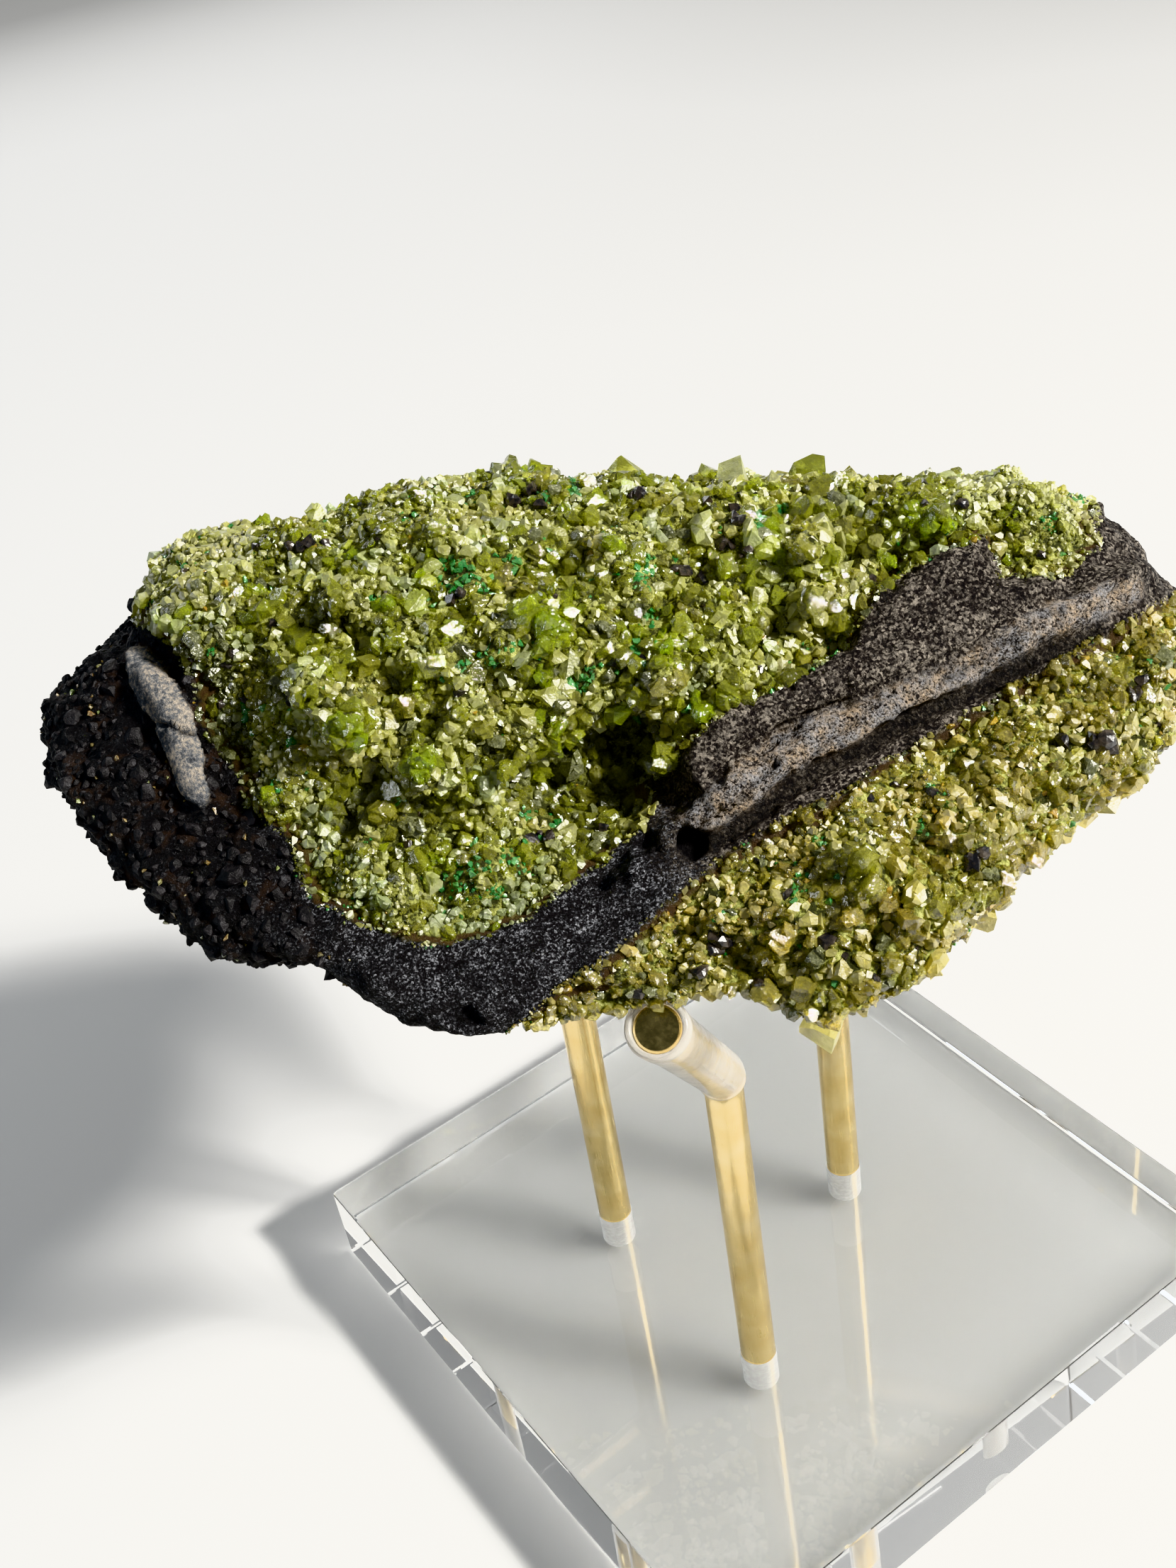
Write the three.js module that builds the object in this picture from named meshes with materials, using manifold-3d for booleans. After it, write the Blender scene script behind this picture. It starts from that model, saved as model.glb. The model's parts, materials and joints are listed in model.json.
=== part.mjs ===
// Peridot xenolith on a clear block stand with three bent brass rods. Millimetres, +Z up.
// The origin is the middle of the block's underside. The stone's long side runs along X,
// and its display face looks towards -Y and up.
import * as THREE from 'three';
import { mergeVertices } from 'three/addons/utils/BufferGeometryUtils.js';
import Module from 'manifold-3d';

const wasm = await Module();
wasm.setup();

const rad = THREE.MathUtils.degToRad;
const UP = new THREE.Vector3(0, 0, 1);

// Driving sizes of the stand
const BLOCK_SIDE = 63.5;
const BLOCK_THICKNESS = 9.5;
const BLOCK_EDGE = 0.4;
const BLOCK_TURN = rad(-59.6);
const ROD_DIAMETER = 3.2;
const ROD_RISE = 36;
const ARM_LENGTH = 31.5;
const ARM_TILT = rad(38.3);
const BEND_RADIUS = 6;
const FIT_GAP = 0.3;
const HOLE_DEPTH = 6.5;
const SLEEVE_GAP = 0.25;
const SLEEVE_WALL = 0.36;
const ROUND_SIDES = 16;

// Where each rod stands on the block, from the middle of the block and along its sides,
// and which way its arm leans. The front pair lean to the block's corners.
const ROD_HALF_SPAN = 11;
const ROD_SHIFT = 1.2;
const ROD_FRONT = -11.3;
const ROD_BACK = 9.2;
const RODS = [
  { name: 'front', x: ROD_SHIFT + ROD_HALF_SPAN, y: ROD_FRONT, lean: rad(-45) },
  { name: 'left', x: ROD_SHIFT - ROD_HALF_SPAN, y: ROD_FRONT, lean: rad(-135) },
  { name: 'right', x: ROD_SHIFT, y: ROD_BACK, lean: rad(90) },
];

// Driving sizes of the stone
const EDGE_SOFTNESS = 1.9;
const UNDERSIDE_HEIGHT = 71.5;
const OUTLINE_GROWTH = 5;
const FRONT_LOBE = { at: [1190, 1410], reach: 110, drop: 2.2 };
const FACE_FOOT = new THREE.Vector3(-8.3, -37.1, 72.7);
const FACE_SLOPE = rad(32.8);
const RIDGE_TOP = new THREE.Vector3(-5.6, 0, 94);
const BACK_SLOPE = rad(46);
const STONE_MIDDLE = new THREE.Vector3(-7, -11, 80);
const CELL_DETAIL = 7;
const FRONT_PULL = 0.4;
const SPREAD_ROUNDS = 90;
const GRAIN_HEIGHT = [0.35, 1.1];
const GRAIN_TOP = 0.62;
const GRAIN_TILT = 0.32;
const VALLEY_DEPTH = 0.5;
const ROCK_ROUGHNESS = 0.7;
const SMALLEST_DETAIL = 0.08;
const TOUCH = 0.005;

// The picture's eye point. Every spot named by a pixel below is seen from here.
const EYE = new THREE.Vector3(-10.2, -119.8, 153.1);
const EYE_PITCH = rad(36.6);
const EYE_ROLL = rad(9.7);
const EYE_FOCUS = 2604;
const PICTURE_MIDDLE = [829.5, 1106];
const AHEAD = new THREE.Vector3(0, Math.cos(EYE_PITCH), -Math.sin(EYE_PITCH));
const LEVEL_DOWN = new THREE.Vector3(0, -Math.sin(EYE_PITCH), -Math.cos(EYE_PITCH));
const RIGHTWARD = new THREE.Vector3(Math.cos(EYE_ROLL), 0, 0)
  .addScaledVector(LEVEL_DOWN, Math.sin(EYE_ROLL));
const DOWNWARD = new THREE.Vector3(-Math.sin(EYE_ROLL), 0, 0)
  .addScaledVector(LEVEL_DOWN, Math.cos(EYE_ROLL));

// Outlines and lines on the stone, in pixels of the photograph
const OUTLINE = [
  [65, 1018], [67, 985], [114, 953], [177, 911], [191, 876], [218, 821], [224, 777],
  [287, 750], [336, 755], [435, 728], [517, 709], [580, 681], [643, 684], [775, 667],
  [834, 683], [915, 677], [949, 689], [1007, 674], [1064, 692], [1170, 677], [1253, 692],
  [1379, 674], [1465, 689], [1534, 706], [1580, 760], [1646, 835], [1690, 880],
  [1700, 930], [1680, 985], [1637, 1041], [1586, 1116], [1528, 1150], [1477, 1179],
  [1471, 1213], [1408, 1276], [1339, 1328], [1299, 1380], [1259, 1417], [1219, 1451],
  [1156, 1446], [1081, 1417], [1044, 1431], [949, 1414], [892, 1426], [806, 1440],
  [698, 1464], [610, 1452], [523, 1419], [468, 1375], [391, 1356], [350, 1372],
  [276, 1317], [199, 1249], [155, 1210], [111, 1131], [76, 1106],
];
const UPPER_GREEN = [
  [191, 876], [248, 914], [276, 969], [303, 1057], [347, 1134], [413, 1194], [446, 1271],
  [523, 1309], [610, 1339], [687, 1317], [797, 1260], [857, 1210], [926, 1145],
  [943, 1087], [1001, 1018], [1081, 978], [1196, 909], [1236, 841], [1328, 778],
  [1391, 755], [1414, 812], [1505, 812], [1551, 772], [1540, 640], [700, 600], [224, 700],
];
const LOWER_GREEN = [
  [1690, 820], [1609, 864], [1500, 927], [1437, 975], [1333, 1024], [1230, 1087],
  [1127, 1145], [1029, 1202], [949, 1265], [875, 1334], [794, 1391], [715, 1457],
  [740, 1540], [1300, 1540], [1760, 1000],
];
const SLAB = [
  [950, 1090], [1001, 1022], [1081, 982], [1196, 915], [1240, 845], [1328, 782],
  [1388, 760], [1410, 815], [1505, 816], [1333, 930], [1184, 987], [1081, 1028],
  [1008, 1085], [955, 1118],
];
const FLAKE = [
  [177, 918], [238, 962], [288, 1062], [293, 1134], [260, 1128], [238, 1050], [216, 995],
];
const RIDGE_LINE = [
  [1620, 795], [1480, 868], [1330, 962], [1180, 1030], [1050, 1108], [950, 1172],
  [860, 1250],
];
const CRACK_LINE = [
  [1530, 818], [1333, 938], [1184, 993], [1081, 1036], [1010, 1094], [928, 1136],
];
const RECESS_LINE = [[1500, 900], [1328, 1004], [1179, 1080], [1035, 1182], [960, 1240]];
const VESICLES = [
  { at: [914, 1191], radius: 0.75 },
  { at: [973, 1186], radius: 0.8 },
  { at: [655, 1435], radius: 1.0 },
];
const DARK_GRAINS = [
  { at: [1000, 700], size: [1.3, 1.1, 1.2] },
  { at: [1036, 722], size: [1.2, 1.0, 0.9] },
  { at: [748, 704], size: [1.3, 1.0, 0.8] },
];
const POCKET = { at: [905, 1085], size: [3.2, 2.6, 3.6] };

// Swells and hollows of the display face: middle and reach in pixels, height in millimetres
const SWELLS = [
  { at: [600, 890], reach: [300, 190], height: 3.2 },
  { at: [930, 860], reach: [230, 140], height: 1.2 },
  { at: [1370, 720], reach: [160, 70], height: 0.8 },
  { at: [500, 1090], reach: [150, 110], height: 1.3 },
  { at: [640, 1230], reach: [170, 80], height: -1.8 },
  { at: [860, 1130], reach: [120, 90], height: -2.4 },
  { at: [350, 1010], reach: [80, 110], height: -1.2 },
  { at: [160, 1080], reach: [110, 140], height: -0.6 },
  { at: [1240, 1230], reach: [230, 140], height: 2.6 },
  { at: [1540, 960], reach: [130, 110], height: 1.4 },
  { at: [980, 1340], reach: [180, 70], height: -1.0 },
];
const GREEN_STEP = 1.4;

// A repeatable stream of numbers between 0 and 1
function chance(seed) {
  let state = seed;
  return () => {
    state = (state * 1664525 + 1013904223) % 4294967296;
    return state / 4294967296;
  };
}

// The line of sight through a pixel, one unit long along the middle sight line
function sight([px, py]) {
  return AHEAD.clone()
    .addScaledVector(RIGHTWARD, (px - PICTURE_MIDDLE[0]) / EYE_FOCUS)
    .addScaledVector(DOWNWARD, (py - PICTURE_MIDDLE[1]) / EYE_FOCUS);
}

// The pixel that shows a point, and how far ahead of the eye the point is
function seen(point) {
  const from = point.clone().sub(EYE);
  const ahead = from.dot(AHEAD);
  return {
    pixel: [
      PICTURE_MIDDLE[0] + (EYE_FOCUS * from.dot(RIGHTWARD)) / ahead,
      PICTURE_MIDDLE[1] + (EYE_FOCUS * from.dot(DOWNWARD)) / ahead,
    ],
    ahead,
  };
}

// Signed distance in pixels from an outline, negative inside it
function distanceOutside(outline, [x, y]) {
  let nearest = Infinity;
  let inside = false;
  for (let i = 0; i < outline.length; i += 1) {
    const [ax, ay] = outline[i];
    const [bx, by] = outline[(i + 1) % outline.length];
    const along = ((x - ax) * (bx - ax) + (y - ay) * (by - ay)) / ((bx - ax) ** 2 + (by - ay) ** 2);
    const t = THREE.MathUtils.clamp(along, 0, 1);
    nearest = Math.min(nearest, Math.hypot(x - ax - t * (bx - ax), y - ay - t * (by - ay)));
    if (ay > y !== by > y && x < ax + ((y - ay) * (bx - ax)) / (by - ay)) {
      inside = !inside;
    }
  }
  return inside ? -nearest : nearest;
}

function isGreen(pixel) {
  return distanceOutside(UPPER_GREEN, pixel) < 0 || distanceOutside(LOWER_GREEN, pixel) < 0;
}

// How far the display face stands in front of its mean plane at a pixel
function faceRelief(pixel) {
  let height = 0;
  for (const swell of SWELLS) {
    const dx = (pixel[0] - swell.at[0]) / swell.reach[0];
    const dy = (pixel[1] - swell.at[1]) / swell.reach[1];
    height += swell.height * Math.exp(-(dx * dx + dy * dy));
  }
  const upper = THREE.MathUtils.smoothstep(-distanceOutside(UPPER_GREEN, pixel), -5, 35);
  const lower = THREE.MathUtils.smoothstep(-distanceOutside(LOWER_GREEN, pixel), -5, 60);
  return height + GREEN_STEP * (upper + 0.5 * lower);
}

const FACE_NORMAL = new THREE.Vector3(0, -Math.sin(FACE_SLOPE), Math.cos(FACE_SLOPE));
const BACK_NORMAL = new THREE.Vector3(0, Math.sin(BACK_SLOPE), Math.cos(BACK_SLOPE));

// A point on the display face at a pixel, raised above the face by a height
function onFace(pixel, height) {
  const direction = sight(pixel);
  const start = FACE_FOOT.clone().sub(EYE).dot(FACE_NORMAL) + faceRelief(pixel) + height;
  return EYE.clone().addScaledVector(direction, start / direction.dot(FACE_NORMAL));
}

function softMax(a, b) {
  const blend = Math.max(EDGE_SOFTNESS - Math.abs(a - b), 0) / EDGE_SOFTNESS;
  return Math.max(a, b) + (blend * blend * EDGE_SOFTNESS) / 4;
}

// The stone is what lies inside four limits: outline, display face, back and underside.
// The value is negative inside the stone, in millimetres.
function stoneLimit(point) {
  const { pixel, ahead } = seen(point);
  const outline = ((distanceOutside(OUTLINE, pixel) - OUTLINE_GROWTH) * ahead) / EYE_FOCUS;
  const face = point.clone().sub(FACE_FOOT).dot(FACE_NORMAL) - faceRelief(pixel);
  const back = point.clone().sub(RIDGE_TOP).dot(BACK_NORMAL);
  const endRise = 0.012 * Math.max(Math.abs(point.x - STONE_MIDDLE.x) - 22, 0) ** 2;
  const lobe = Math.hypot(pixel[0] - FRONT_LOBE.at[0], pixel[1] - FRONT_LOBE.at[1]) / FRONT_LOBE.reach;
  const underside = UNDERSIDE_HEIGHT + endRise - FRONT_LOBE.drop * Math.exp(-lobe * lobe) - point.z;
  return softMax(softMax(outline, face), softMax(back, underside));
}

// The surface point of the stone in a direction from its middle
function surfacePoint(direction) {
  let near = 0;
  let far = 70;
  for (let i = 0; i < 18; i += 1) {
    const half = (near + far) / 2;
    if (stoneLimit(STONE_MIDDLE.clone().addScaledVector(direction, half)) < 0) {
      near = half;
    } else {
      far = half;
    }
  }
  return STONE_MIDDLE.clone().addScaledVector(direction, near);
}

function bare(geometry) {
  geometry.deleteAttribute('normal');
  geometry.deleteAttribute('uv');
  return mergeVertices(geometry, 1e-4);
}

// The ring of cell corners round each point of the skin, in order
function cellRings(index, count) {
  const next = Array.from({ length: count }, () => new Map());
  for (let t = 0; t < index.length; t += 3) {
    for (let k = 0; k < 3; k += 1) {
      const centre = index[t + k];
      next[centre].set(index[t + ((k + 1) % 3)], { to: index[t + ((k + 2) % 3)], corner: t / 3 });
    }
  }
  return next.map((links) => {
    const first = links.keys().next().value;
    const ring = [];
    let at = first;
    do {
      const link = links.get(at);
      ring.push({ corner: link.corner, neighbour: at });
      at = link.to;
    } while (at !== first);
    return ring;
  });
}

// Spreads the points evenly over the stone, closer together on the display face
function spreadPoints(points, rings) {
  let current = points.map((p) => surfacePoint(p.clone().normalize()));
  for (let round = 0; round < SPREAD_ROUNDS; round += 1) {
    current = current.map((point, i) => {
      const sum = new THREE.Vector3();
      let weight = 0;
      for (const { neighbour } of rings[i]) {
        const other = current[neighbour];
        const facing = other.clone().sub(STONE_MIDDLE).normalize().dot(FACE_NORMAL);
        const pull = 1 + FRONT_PULL * THREE.MathUtils.smoothstep(facing, -0.2, 0.5);
        const share = pull * other.distanceTo(point);
        sum.addScaledVector(other, share);
        weight += share;
      }
      const goal = sum.divideScalar(weight).lerp(point, 0.5);
      return surfacePoint(goal.sub(STONE_MIDDLE).normalize());
    });
  }
  return current;
}

// The outward direction at each point of the skin
function outwardAt(point) {
  const step = 0.4;
  const base = stoneLimit(point);
  const grow = (x, y, z) => stoneLimit(point.clone().add(new THREE.Vector3(x, y, z))) - base;
  return new THREE.Vector3(grow(step, 0, 0), grow(0, step, 0), grow(0, 0, step)).normalize();
}

// The body of the stone: green cells are flat-topped grains, the dark rock's are low facets
function stoneBody() {
  const random = chance(41);
  const ball = bare(new THREE.IcosahedronGeometry(1, CELL_DETAIL));
  const index = Array.from(ball.index.array);
  const starts = [];
  for (let i = 0; i < ball.attributes.position.count; i += 1) {
    starts.push(new THREE.Vector3().fromBufferAttribute(ball.attributes.position, i));
  }
  const rings = cellRings(index, starts.length);
  const points = spreadPoints(starts, rings);
  const outward = points.map(outwardAt);
  const onShow = points.map((point, i) => outward[i].dot(AHEAD) < 0.15);
  const grains = points.map((point, i) => onShow[i] && isGreen(seen(point).pixel));
  const vertices = [];
  const faces = [];
  const add = (v) => vertices.push(v.x, v.y, v.z) / 3 - 1;
  const plainTops = points.map((point, i) => (
    grains[i] ? -1 : add(point.clone().addScaledVector(outward[i], (random() * 2 - 1) * ROCK_ROUGHNESS))));
  const corners = [];
  for (let t = 0; t < index.length; t += 3) {
    const three = [index[t], index[t + 1], index[t + 2]];
    if (!three.some((i) => onShow[i])) {
      faces.push(...three.map((i) => plainTops[i]));
      corners.push(null);
      continue;
    }
    const place = new THREE.Vector3();
    const lift = new THREE.Vector3();
    for (const i of three) {
      place.addScaledVector(points[i], 1 / 3);
      lift.add(outward[i]);
    }
    const green = three.some((i) => grains[i]);
    const sink = green ? VALLEY_DEPTH * (0.5 + random()) : ROCK_ROUGHNESS * (random() - 0.5);
    place.addScaledVector(lift.normalize(), -sink);
    corners.push({ place, at: add(place) });
  }
  points.forEach((point, i) => {
    const ring = rings[i].map(({ corner, neighbour }) => ({ corner: corners[corner], neighbour }));
    if (!grains[i]) {
      ring.forEach(({ corner }, k) => {
        const next = ring[(k + 1) % ring.length];
        if (corner && next.corner) {
          faces.push(corner.at, next.corner.at, plainTops[i]);
        } else if (corner && i < next.neighbour) {
          faces.push(corner.at, plainTops[next.neighbour], plainTops[i]);
        } else if (next.corner && i < next.neighbour) {
          faces.push(plainTops[next.neighbour], next.corner.at, plainTops[i]);
        }
      });
      return;
    }
    const height = GRAIN_HEIGHT[0] + (GRAIN_HEIGHT[1] - GRAIN_HEIGHT[0]) * random() ** 2;
    const slant = new THREE.Vector3(random() - 0.5, random() - 0.5, random() - 0.5)
      .multiplyScalar(2 * GRAIN_TILT);
    const tops = ring.map(({ corner }) => {
      const reach = corner.place.clone().sub(point)
        .multiplyScalar(GRAIN_TOP * (0.85 + 0.3 * random()));
      const raised = height + reach.dot(slant);
      return add(point.clone().add(reach).addScaledVector(outward[i], raised));
    });
    ring.forEach(({ corner }, k) => {
      const n = (k + 1) % ring.length;
      const next = ring[n].corner;
      faces.push(corner.at, next.at, tops[n], corner.at, tops[n], tops[k]);
      if (k > 0 && k < ring.length - 1) {
        faces.push(tops[0], tops[k], tops[k + 1]);
      }
    });
  });
  return solidFrom(vertices, faces);
}

function solidFrom(vertices, faces) {
  return new wasm.Manifold(new wasm.Mesh({
    numProp: 3,
    vertProperties: new Float32Array(vertices),
    triVerts: new Uint32Array(faces),
  }));
}

function solidOf(geometry, matrix) {
  const plain = bare(geometry);
  if (matrix) {
    plain.applyMatrix4(matrix);
  }
  return solidFrom(plain.attributes.position.array, plain.index.array);
}

function geometryOf(solid) {
  const mesh = solid.getMesh();
  const geometry = new THREE.BufferGeometry();
  geometry.setAttribute('position', new THREE.BufferAttribute(new Float32Array(mesh.vertProperties), 3));
  geometry.setIndex(new THREE.BufferAttribute(new Uint32Array(mesh.triVerts), 1));
  return geometry;
}

// A plate lying on the display face inside an outline, with its top edge drawn in a little
function plate(outline, top, bottom, inset) {
  const flat = outline.map(([x, y]) => new THREE.Vector2(x, -y));
  const order = THREE.ShapeUtils.isClockWise(flat) ? [...outline].reverse() : outline;
  const ring = order.map(([x, y]) => new THREE.Vector2(x, -y));
  const middle = order.reduce(([x, y], p) => [x + p[0] / order.length, y + p[1] / order.length], [0, 0]);
  const drawn = order.map((p) => {
    const reach = Math.hypot(p[0] - middle[0], p[1] - middle[1]);
    const keep = 1 - inset / reach;
    return [middle[0] + (p[0] - middle[0]) * keep, middle[1] + (p[1] - middle[1]) * keep];
  });
  const vertices = [];
  drawn.forEach((p) => vertices.push(...onFace(p, top).toArray()));
  order.forEach((p) => vertices.push(...onFace(p, bottom).toArray()));
  const faces = [];
  const count = order.length;
  for (const [a, b, c] of THREE.ShapeUtils.triangulateShape(ring, [])) {
    faces.push(a, b, c, count + a, count + c, count + b);
  }
  for (let i = 0; i < count; i += 1) {
    const n = (i + 1) % count;
    faces.push(count + i, count + n, n, count + i, n, i);
  }
  return solidFrom(vertices, faces);
}

// A bar that follows a line on the display face, wide at its foot and narrower at its top
function bar(line, { half, halfTop, top, bottom }) {
  const vertices = [];
  line.forEach((p, i) => {
    const before = line[Math.max(i - 1, 0)];
    const after = line[Math.min(i + 1, line.length - 1)];
    const length = Math.hypot(after[0] - before[0], after[1] - before[1]);
    const side = [-(after[1] - before[1]) / length, (after[0] - before[0]) / length];
    const place = (reach, height) => onFace([p[0] + side[0] * reach, p[1] + side[1] * reach], height);
    const ends = i === 0 || i === line.length - 1 ? 0.35 : 1;
    for (const [reach, height] of [[-half, bottom], [-halfTop, top], [halfTop, top], [half, bottom]]) {
      vertices.push(...place(reach * ends, height).toArray());
    }
  });
  const faces = [];
  const last = (line.length - 1) * 4;
  for (let i = 0; i < line.length - 1; i += 1) {
    for (let k = 0; k < 4; k += 1) {
      const a = i * 4 + k;
      const b = i * 4 + ((k + 1) % 4);
      faces.push(a, a + 4, b + 4, a, b + 4, b);
    }
  }
  faces.push(0, 1, 2, 0, 2, 3, last, last + 2, last + 1, last, last + 3, last + 2);
  const solid = solidFrom(vertices, faces);
  if (solid.volume() > 0) {
    return solid;
  }
  const flipped = [];
  for (let t = 0; t < faces.length; t += 3) {
    flipped.push(faces[t], faces[t + 2], faces[t + 1]);
  }
  return solidFrom(vertices, flipped);
}

// A faceted lump of a given size, turned by chance
function lump(place, size, random) {
  const turn = new THREE.Quaternion()
    .setFromEuler(new THREE.Euler(random() * 6.3, random() * 6.3, random() * 6.3));
  const matrix = new THREE.Matrix4().compose(place, turn, new THREE.Vector3(...size));
  return solidOf(random() < 0.6 ? new THREE.DodecahedronGeometry(1) : new THREE.IcosahedronGeometry(1), matrix);
}

// Larger crystals that stand out of the green grains
function crystals(count, area, sizes, seed) {
  const random = chance(seed);
  const solids = [];
  while (solids.length < count) {
    const pixel = [
      area[0] + (area[2] - area[0]) * random(),
      area[1] + (area[3] - area[1]) * random(),
    ];
    if (isGreen(pixel) && distanceOutside(OUTLINE, pixel) < -25) {
      const size = sizes[0] + (sizes[1] - sizes[0]) * random() ** 1.6;
      const stretch = [size, size * (0.7 + 0.5 * random()), size * (0.7 + 0.5 * random())];
      solids.push(lump(onFace(pixel, size * 0.1), stretch, random));
    }
  }
  return solids;
}

// Knobs of the dark rock
function knobs(count, area, sizes, seed) {
  const random = chance(seed);
  const solids = [];
  while (solids.length < count) {
    const pixel = [
      area[0] + (area[2] - area[0]) * random(),
      area[1] + (area[3] - area[1]) * random(),
    ];
    if (!isGreen(pixel) && distanceOutside(OUTLINE, pixel) < -10 && distanceOutside(FLAKE, pixel) > 25) {
      const size = sizes[0] + (sizes[1] - sizes[0]) * random();
      solids.push(lump(onFace(pixel, -0.5), [size, size * 0.8, size * 0.9], random));
    }
  }
  return solids;
}

// A black grain that stands up from the top edge of the stone
function darkGrain({ at, size }, order) {
  return lump(onFace(at, -0.3), size, chance(60 + order));
}

function rodSpots(rod) {
  const turned = new THREE.Vector3(rod.x, rod.y, 0).applyAxisAngle(UP, BLOCK_TURN);
  const heading = rod.lean + BLOCK_TURN;
  const foot = new THREE.Vector3(turned.x, turned.y, BLOCK_THICKNESS);
  const bend = foot.clone().addScaledVector(UP, ROD_RISE);
  const arm = new THREE.Vector3(
    Math.sin(ARM_TILT) * Math.cos(heading),
    Math.sin(ARM_TILT) * Math.sin(heading),
    Math.cos(ARM_TILT),
  );
  return { foot, bend, arm, end: bend.clone().addScaledVector(arm, ARM_LENGTH) };
}

// A path through given stations, which an extruded tube follows from one to the next
class StationPath extends THREE.Curve {
  constructor(stations) {
    super();
    this.stations = stations;
  }

  getUtoTmapping(u) {
    return u;
  }

  getPoint(t) {
    const place = t * (this.stations.length - 1);
    const i = Math.min(Math.floor(place + 1e-9), this.stations.length - 2);
    return this.stations[i].clone().lerp(this.stations[i + 1], place - i);
  }

  getTangent(t) {
    const i = Math.round(t * (this.stations.length - 1));
    const into = this.stations[Math.max(i, 1)].clone().sub(this.stations[Math.max(i, 1) - 1]).normalize();
    const j = Math.min(i, this.stations.length - 2);
    const out = this.stations[j + 1].clone().sub(this.stations[j]).normalize();
    return into.add(out).normalize();
  }
}

function circle(radius) {
  const shape = new THREE.Shape();
  for (let i = 0; i < ROUND_SIDES; i += 1) {
    const angle = (i / ROUND_SIDES) * Math.PI * 2;
    if (i === 0) {
      shape.moveTo(radius, 0);
    } else {
      shape.lineTo(radius * Math.cos(angle), radius * Math.sin(angle));
    }
  }
  shape.closePath();
  return shape;
}

function rodGeometry(rod) {
  const { foot, bend, arm, end } = rodSpots(rod);
  const tangent = BEND_RADIUS * Math.tan(ARM_TILT / 2);
  const stations = [foot.clone().addScaledVector(UP, FIT_GAP - HOLE_DEPTH)];
  const bendSteps = 5;
  const before = bend.clone().addScaledVector(UP, -tangent);
  const side = arm.clone().setZ(0).normalize();
  for (let i = 0; i <= bendSteps; i += 1) {
    const angle = (ARM_TILT * i) / bendSteps;
    stations.push(before.clone()
      .addScaledVector(side, BEND_RADIUS * (1 - Math.cos(angle)))
      .addScaledVector(UP, BEND_RADIUS * Math.sin(angle)));
  }
  stations.push(end);
  return new THREE.ExtrudeGeometry(circle(ROD_DIAMETER / 2), {
    steps: stations.length - 1,
    extrudePath: new StationPath(stations),
    bevelEnabled: false,
  });
}

// A clear sleeve slipped over the arm of a rod, a little proud of the rod's end
function sleeveGeometry(rod) {
  const { bend, arm } = rodSpots(rod);
  const start = BEND_RADIUS * Math.tan(ARM_TILT / 2) + 0.6;
  const length = ARM_LENGTH + FIT_GAP - start;
  const inner = ROD_DIAMETER / 2 + SLEEVE_GAP;
  const outer = inner + SLEEVE_WALL;
  const profile = [
    [inner, 0], [outer - 0.12, 0], [outer, length * 0.5], [outer, length - 0.25],
    [outer - 0.2, length], [inner, length], [inner, 0],
  ].map(([r, y]) => new THREE.Vector2(r, y));
  const geometry = new THREE.LatheGeometry(profile, ROUND_SIDES);
  const turn = new THREE.Quaternion().setFromUnitVectors(new THREE.Vector3(0, 1, 0), arm);
  const place = bend.clone().addScaledVector(arm, start);
  geometry.applyMatrix4(new THREE.Matrix4().compose(place, turn, new THREE.Vector3(1, 1, 1)));
  return bare(geometry);
}

// The room that the stone leaves round the end of an arm
function armRoom(rod) {
  const { bend, arm } = rodSpots(rod);
  const radius = ROD_DIAMETER / 2 + SLEEVE_GAP + SLEEVE_WALL + FIT_GAP;
  const length = ARM_LENGTH + 2 * FIT_GAP;
  const geometry = new THREE.CylinderGeometry(radius, radius, length, ROUND_SIDES);
  const turn = new THREE.Quaternion().setFromUnitVectors(new THREE.Vector3(0, 1, 0), arm);
  const place = bend.clone().addScaledVector(arm, length / 2);
  return solidOf(geometry, new THREE.Matrix4().compose(place, turn, new THREE.Vector3(1, 1, 1)));
}

function blockGeometry() {
  const half = BLOCK_SIDE / 2 - BLOCK_EDGE;
  const shape = new THREE.Shape();
  shape.moveTo(-half, -half);
  shape.lineTo(half, -half);
  shape.lineTo(half, half);
  shape.lineTo(-half, half);
  shape.closePath();
  const slab = new THREE.ExtrudeGeometry(shape, {
    depth: BLOCK_THICKNESS - 2 * BLOCK_EDGE,
    bevelThickness: BLOCK_EDGE,
    bevelSize: BLOCK_EDGE,
    bevelSegments: 1,
  });
  slab.translate(0, 0, BLOCK_EDGE);
  let solid = solidOf(slab, new THREE.Matrix4().makeRotationZ(BLOCK_TURN));
  for (const rod of RODS) {
    const { foot } = rodSpots(rod);
    const radius = ROD_DIAMETER / 2 + FIT_GAP;
    const drill = new THREE.CylinderGeometry(radius, radius, HOLE_DEPTH + 1, ROUND_SIDES);
    drill.rotateX(Math.PI / 2);
    drill.translate(foot.x, foot.y, BLOCK_THICKNESS - HOLE_DEPTH + (HOLE_DEPTH + 1) / 2);
    solid = solid.subtract(solidOf(drill));
  }
  return geometryOf(solid);
}

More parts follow.
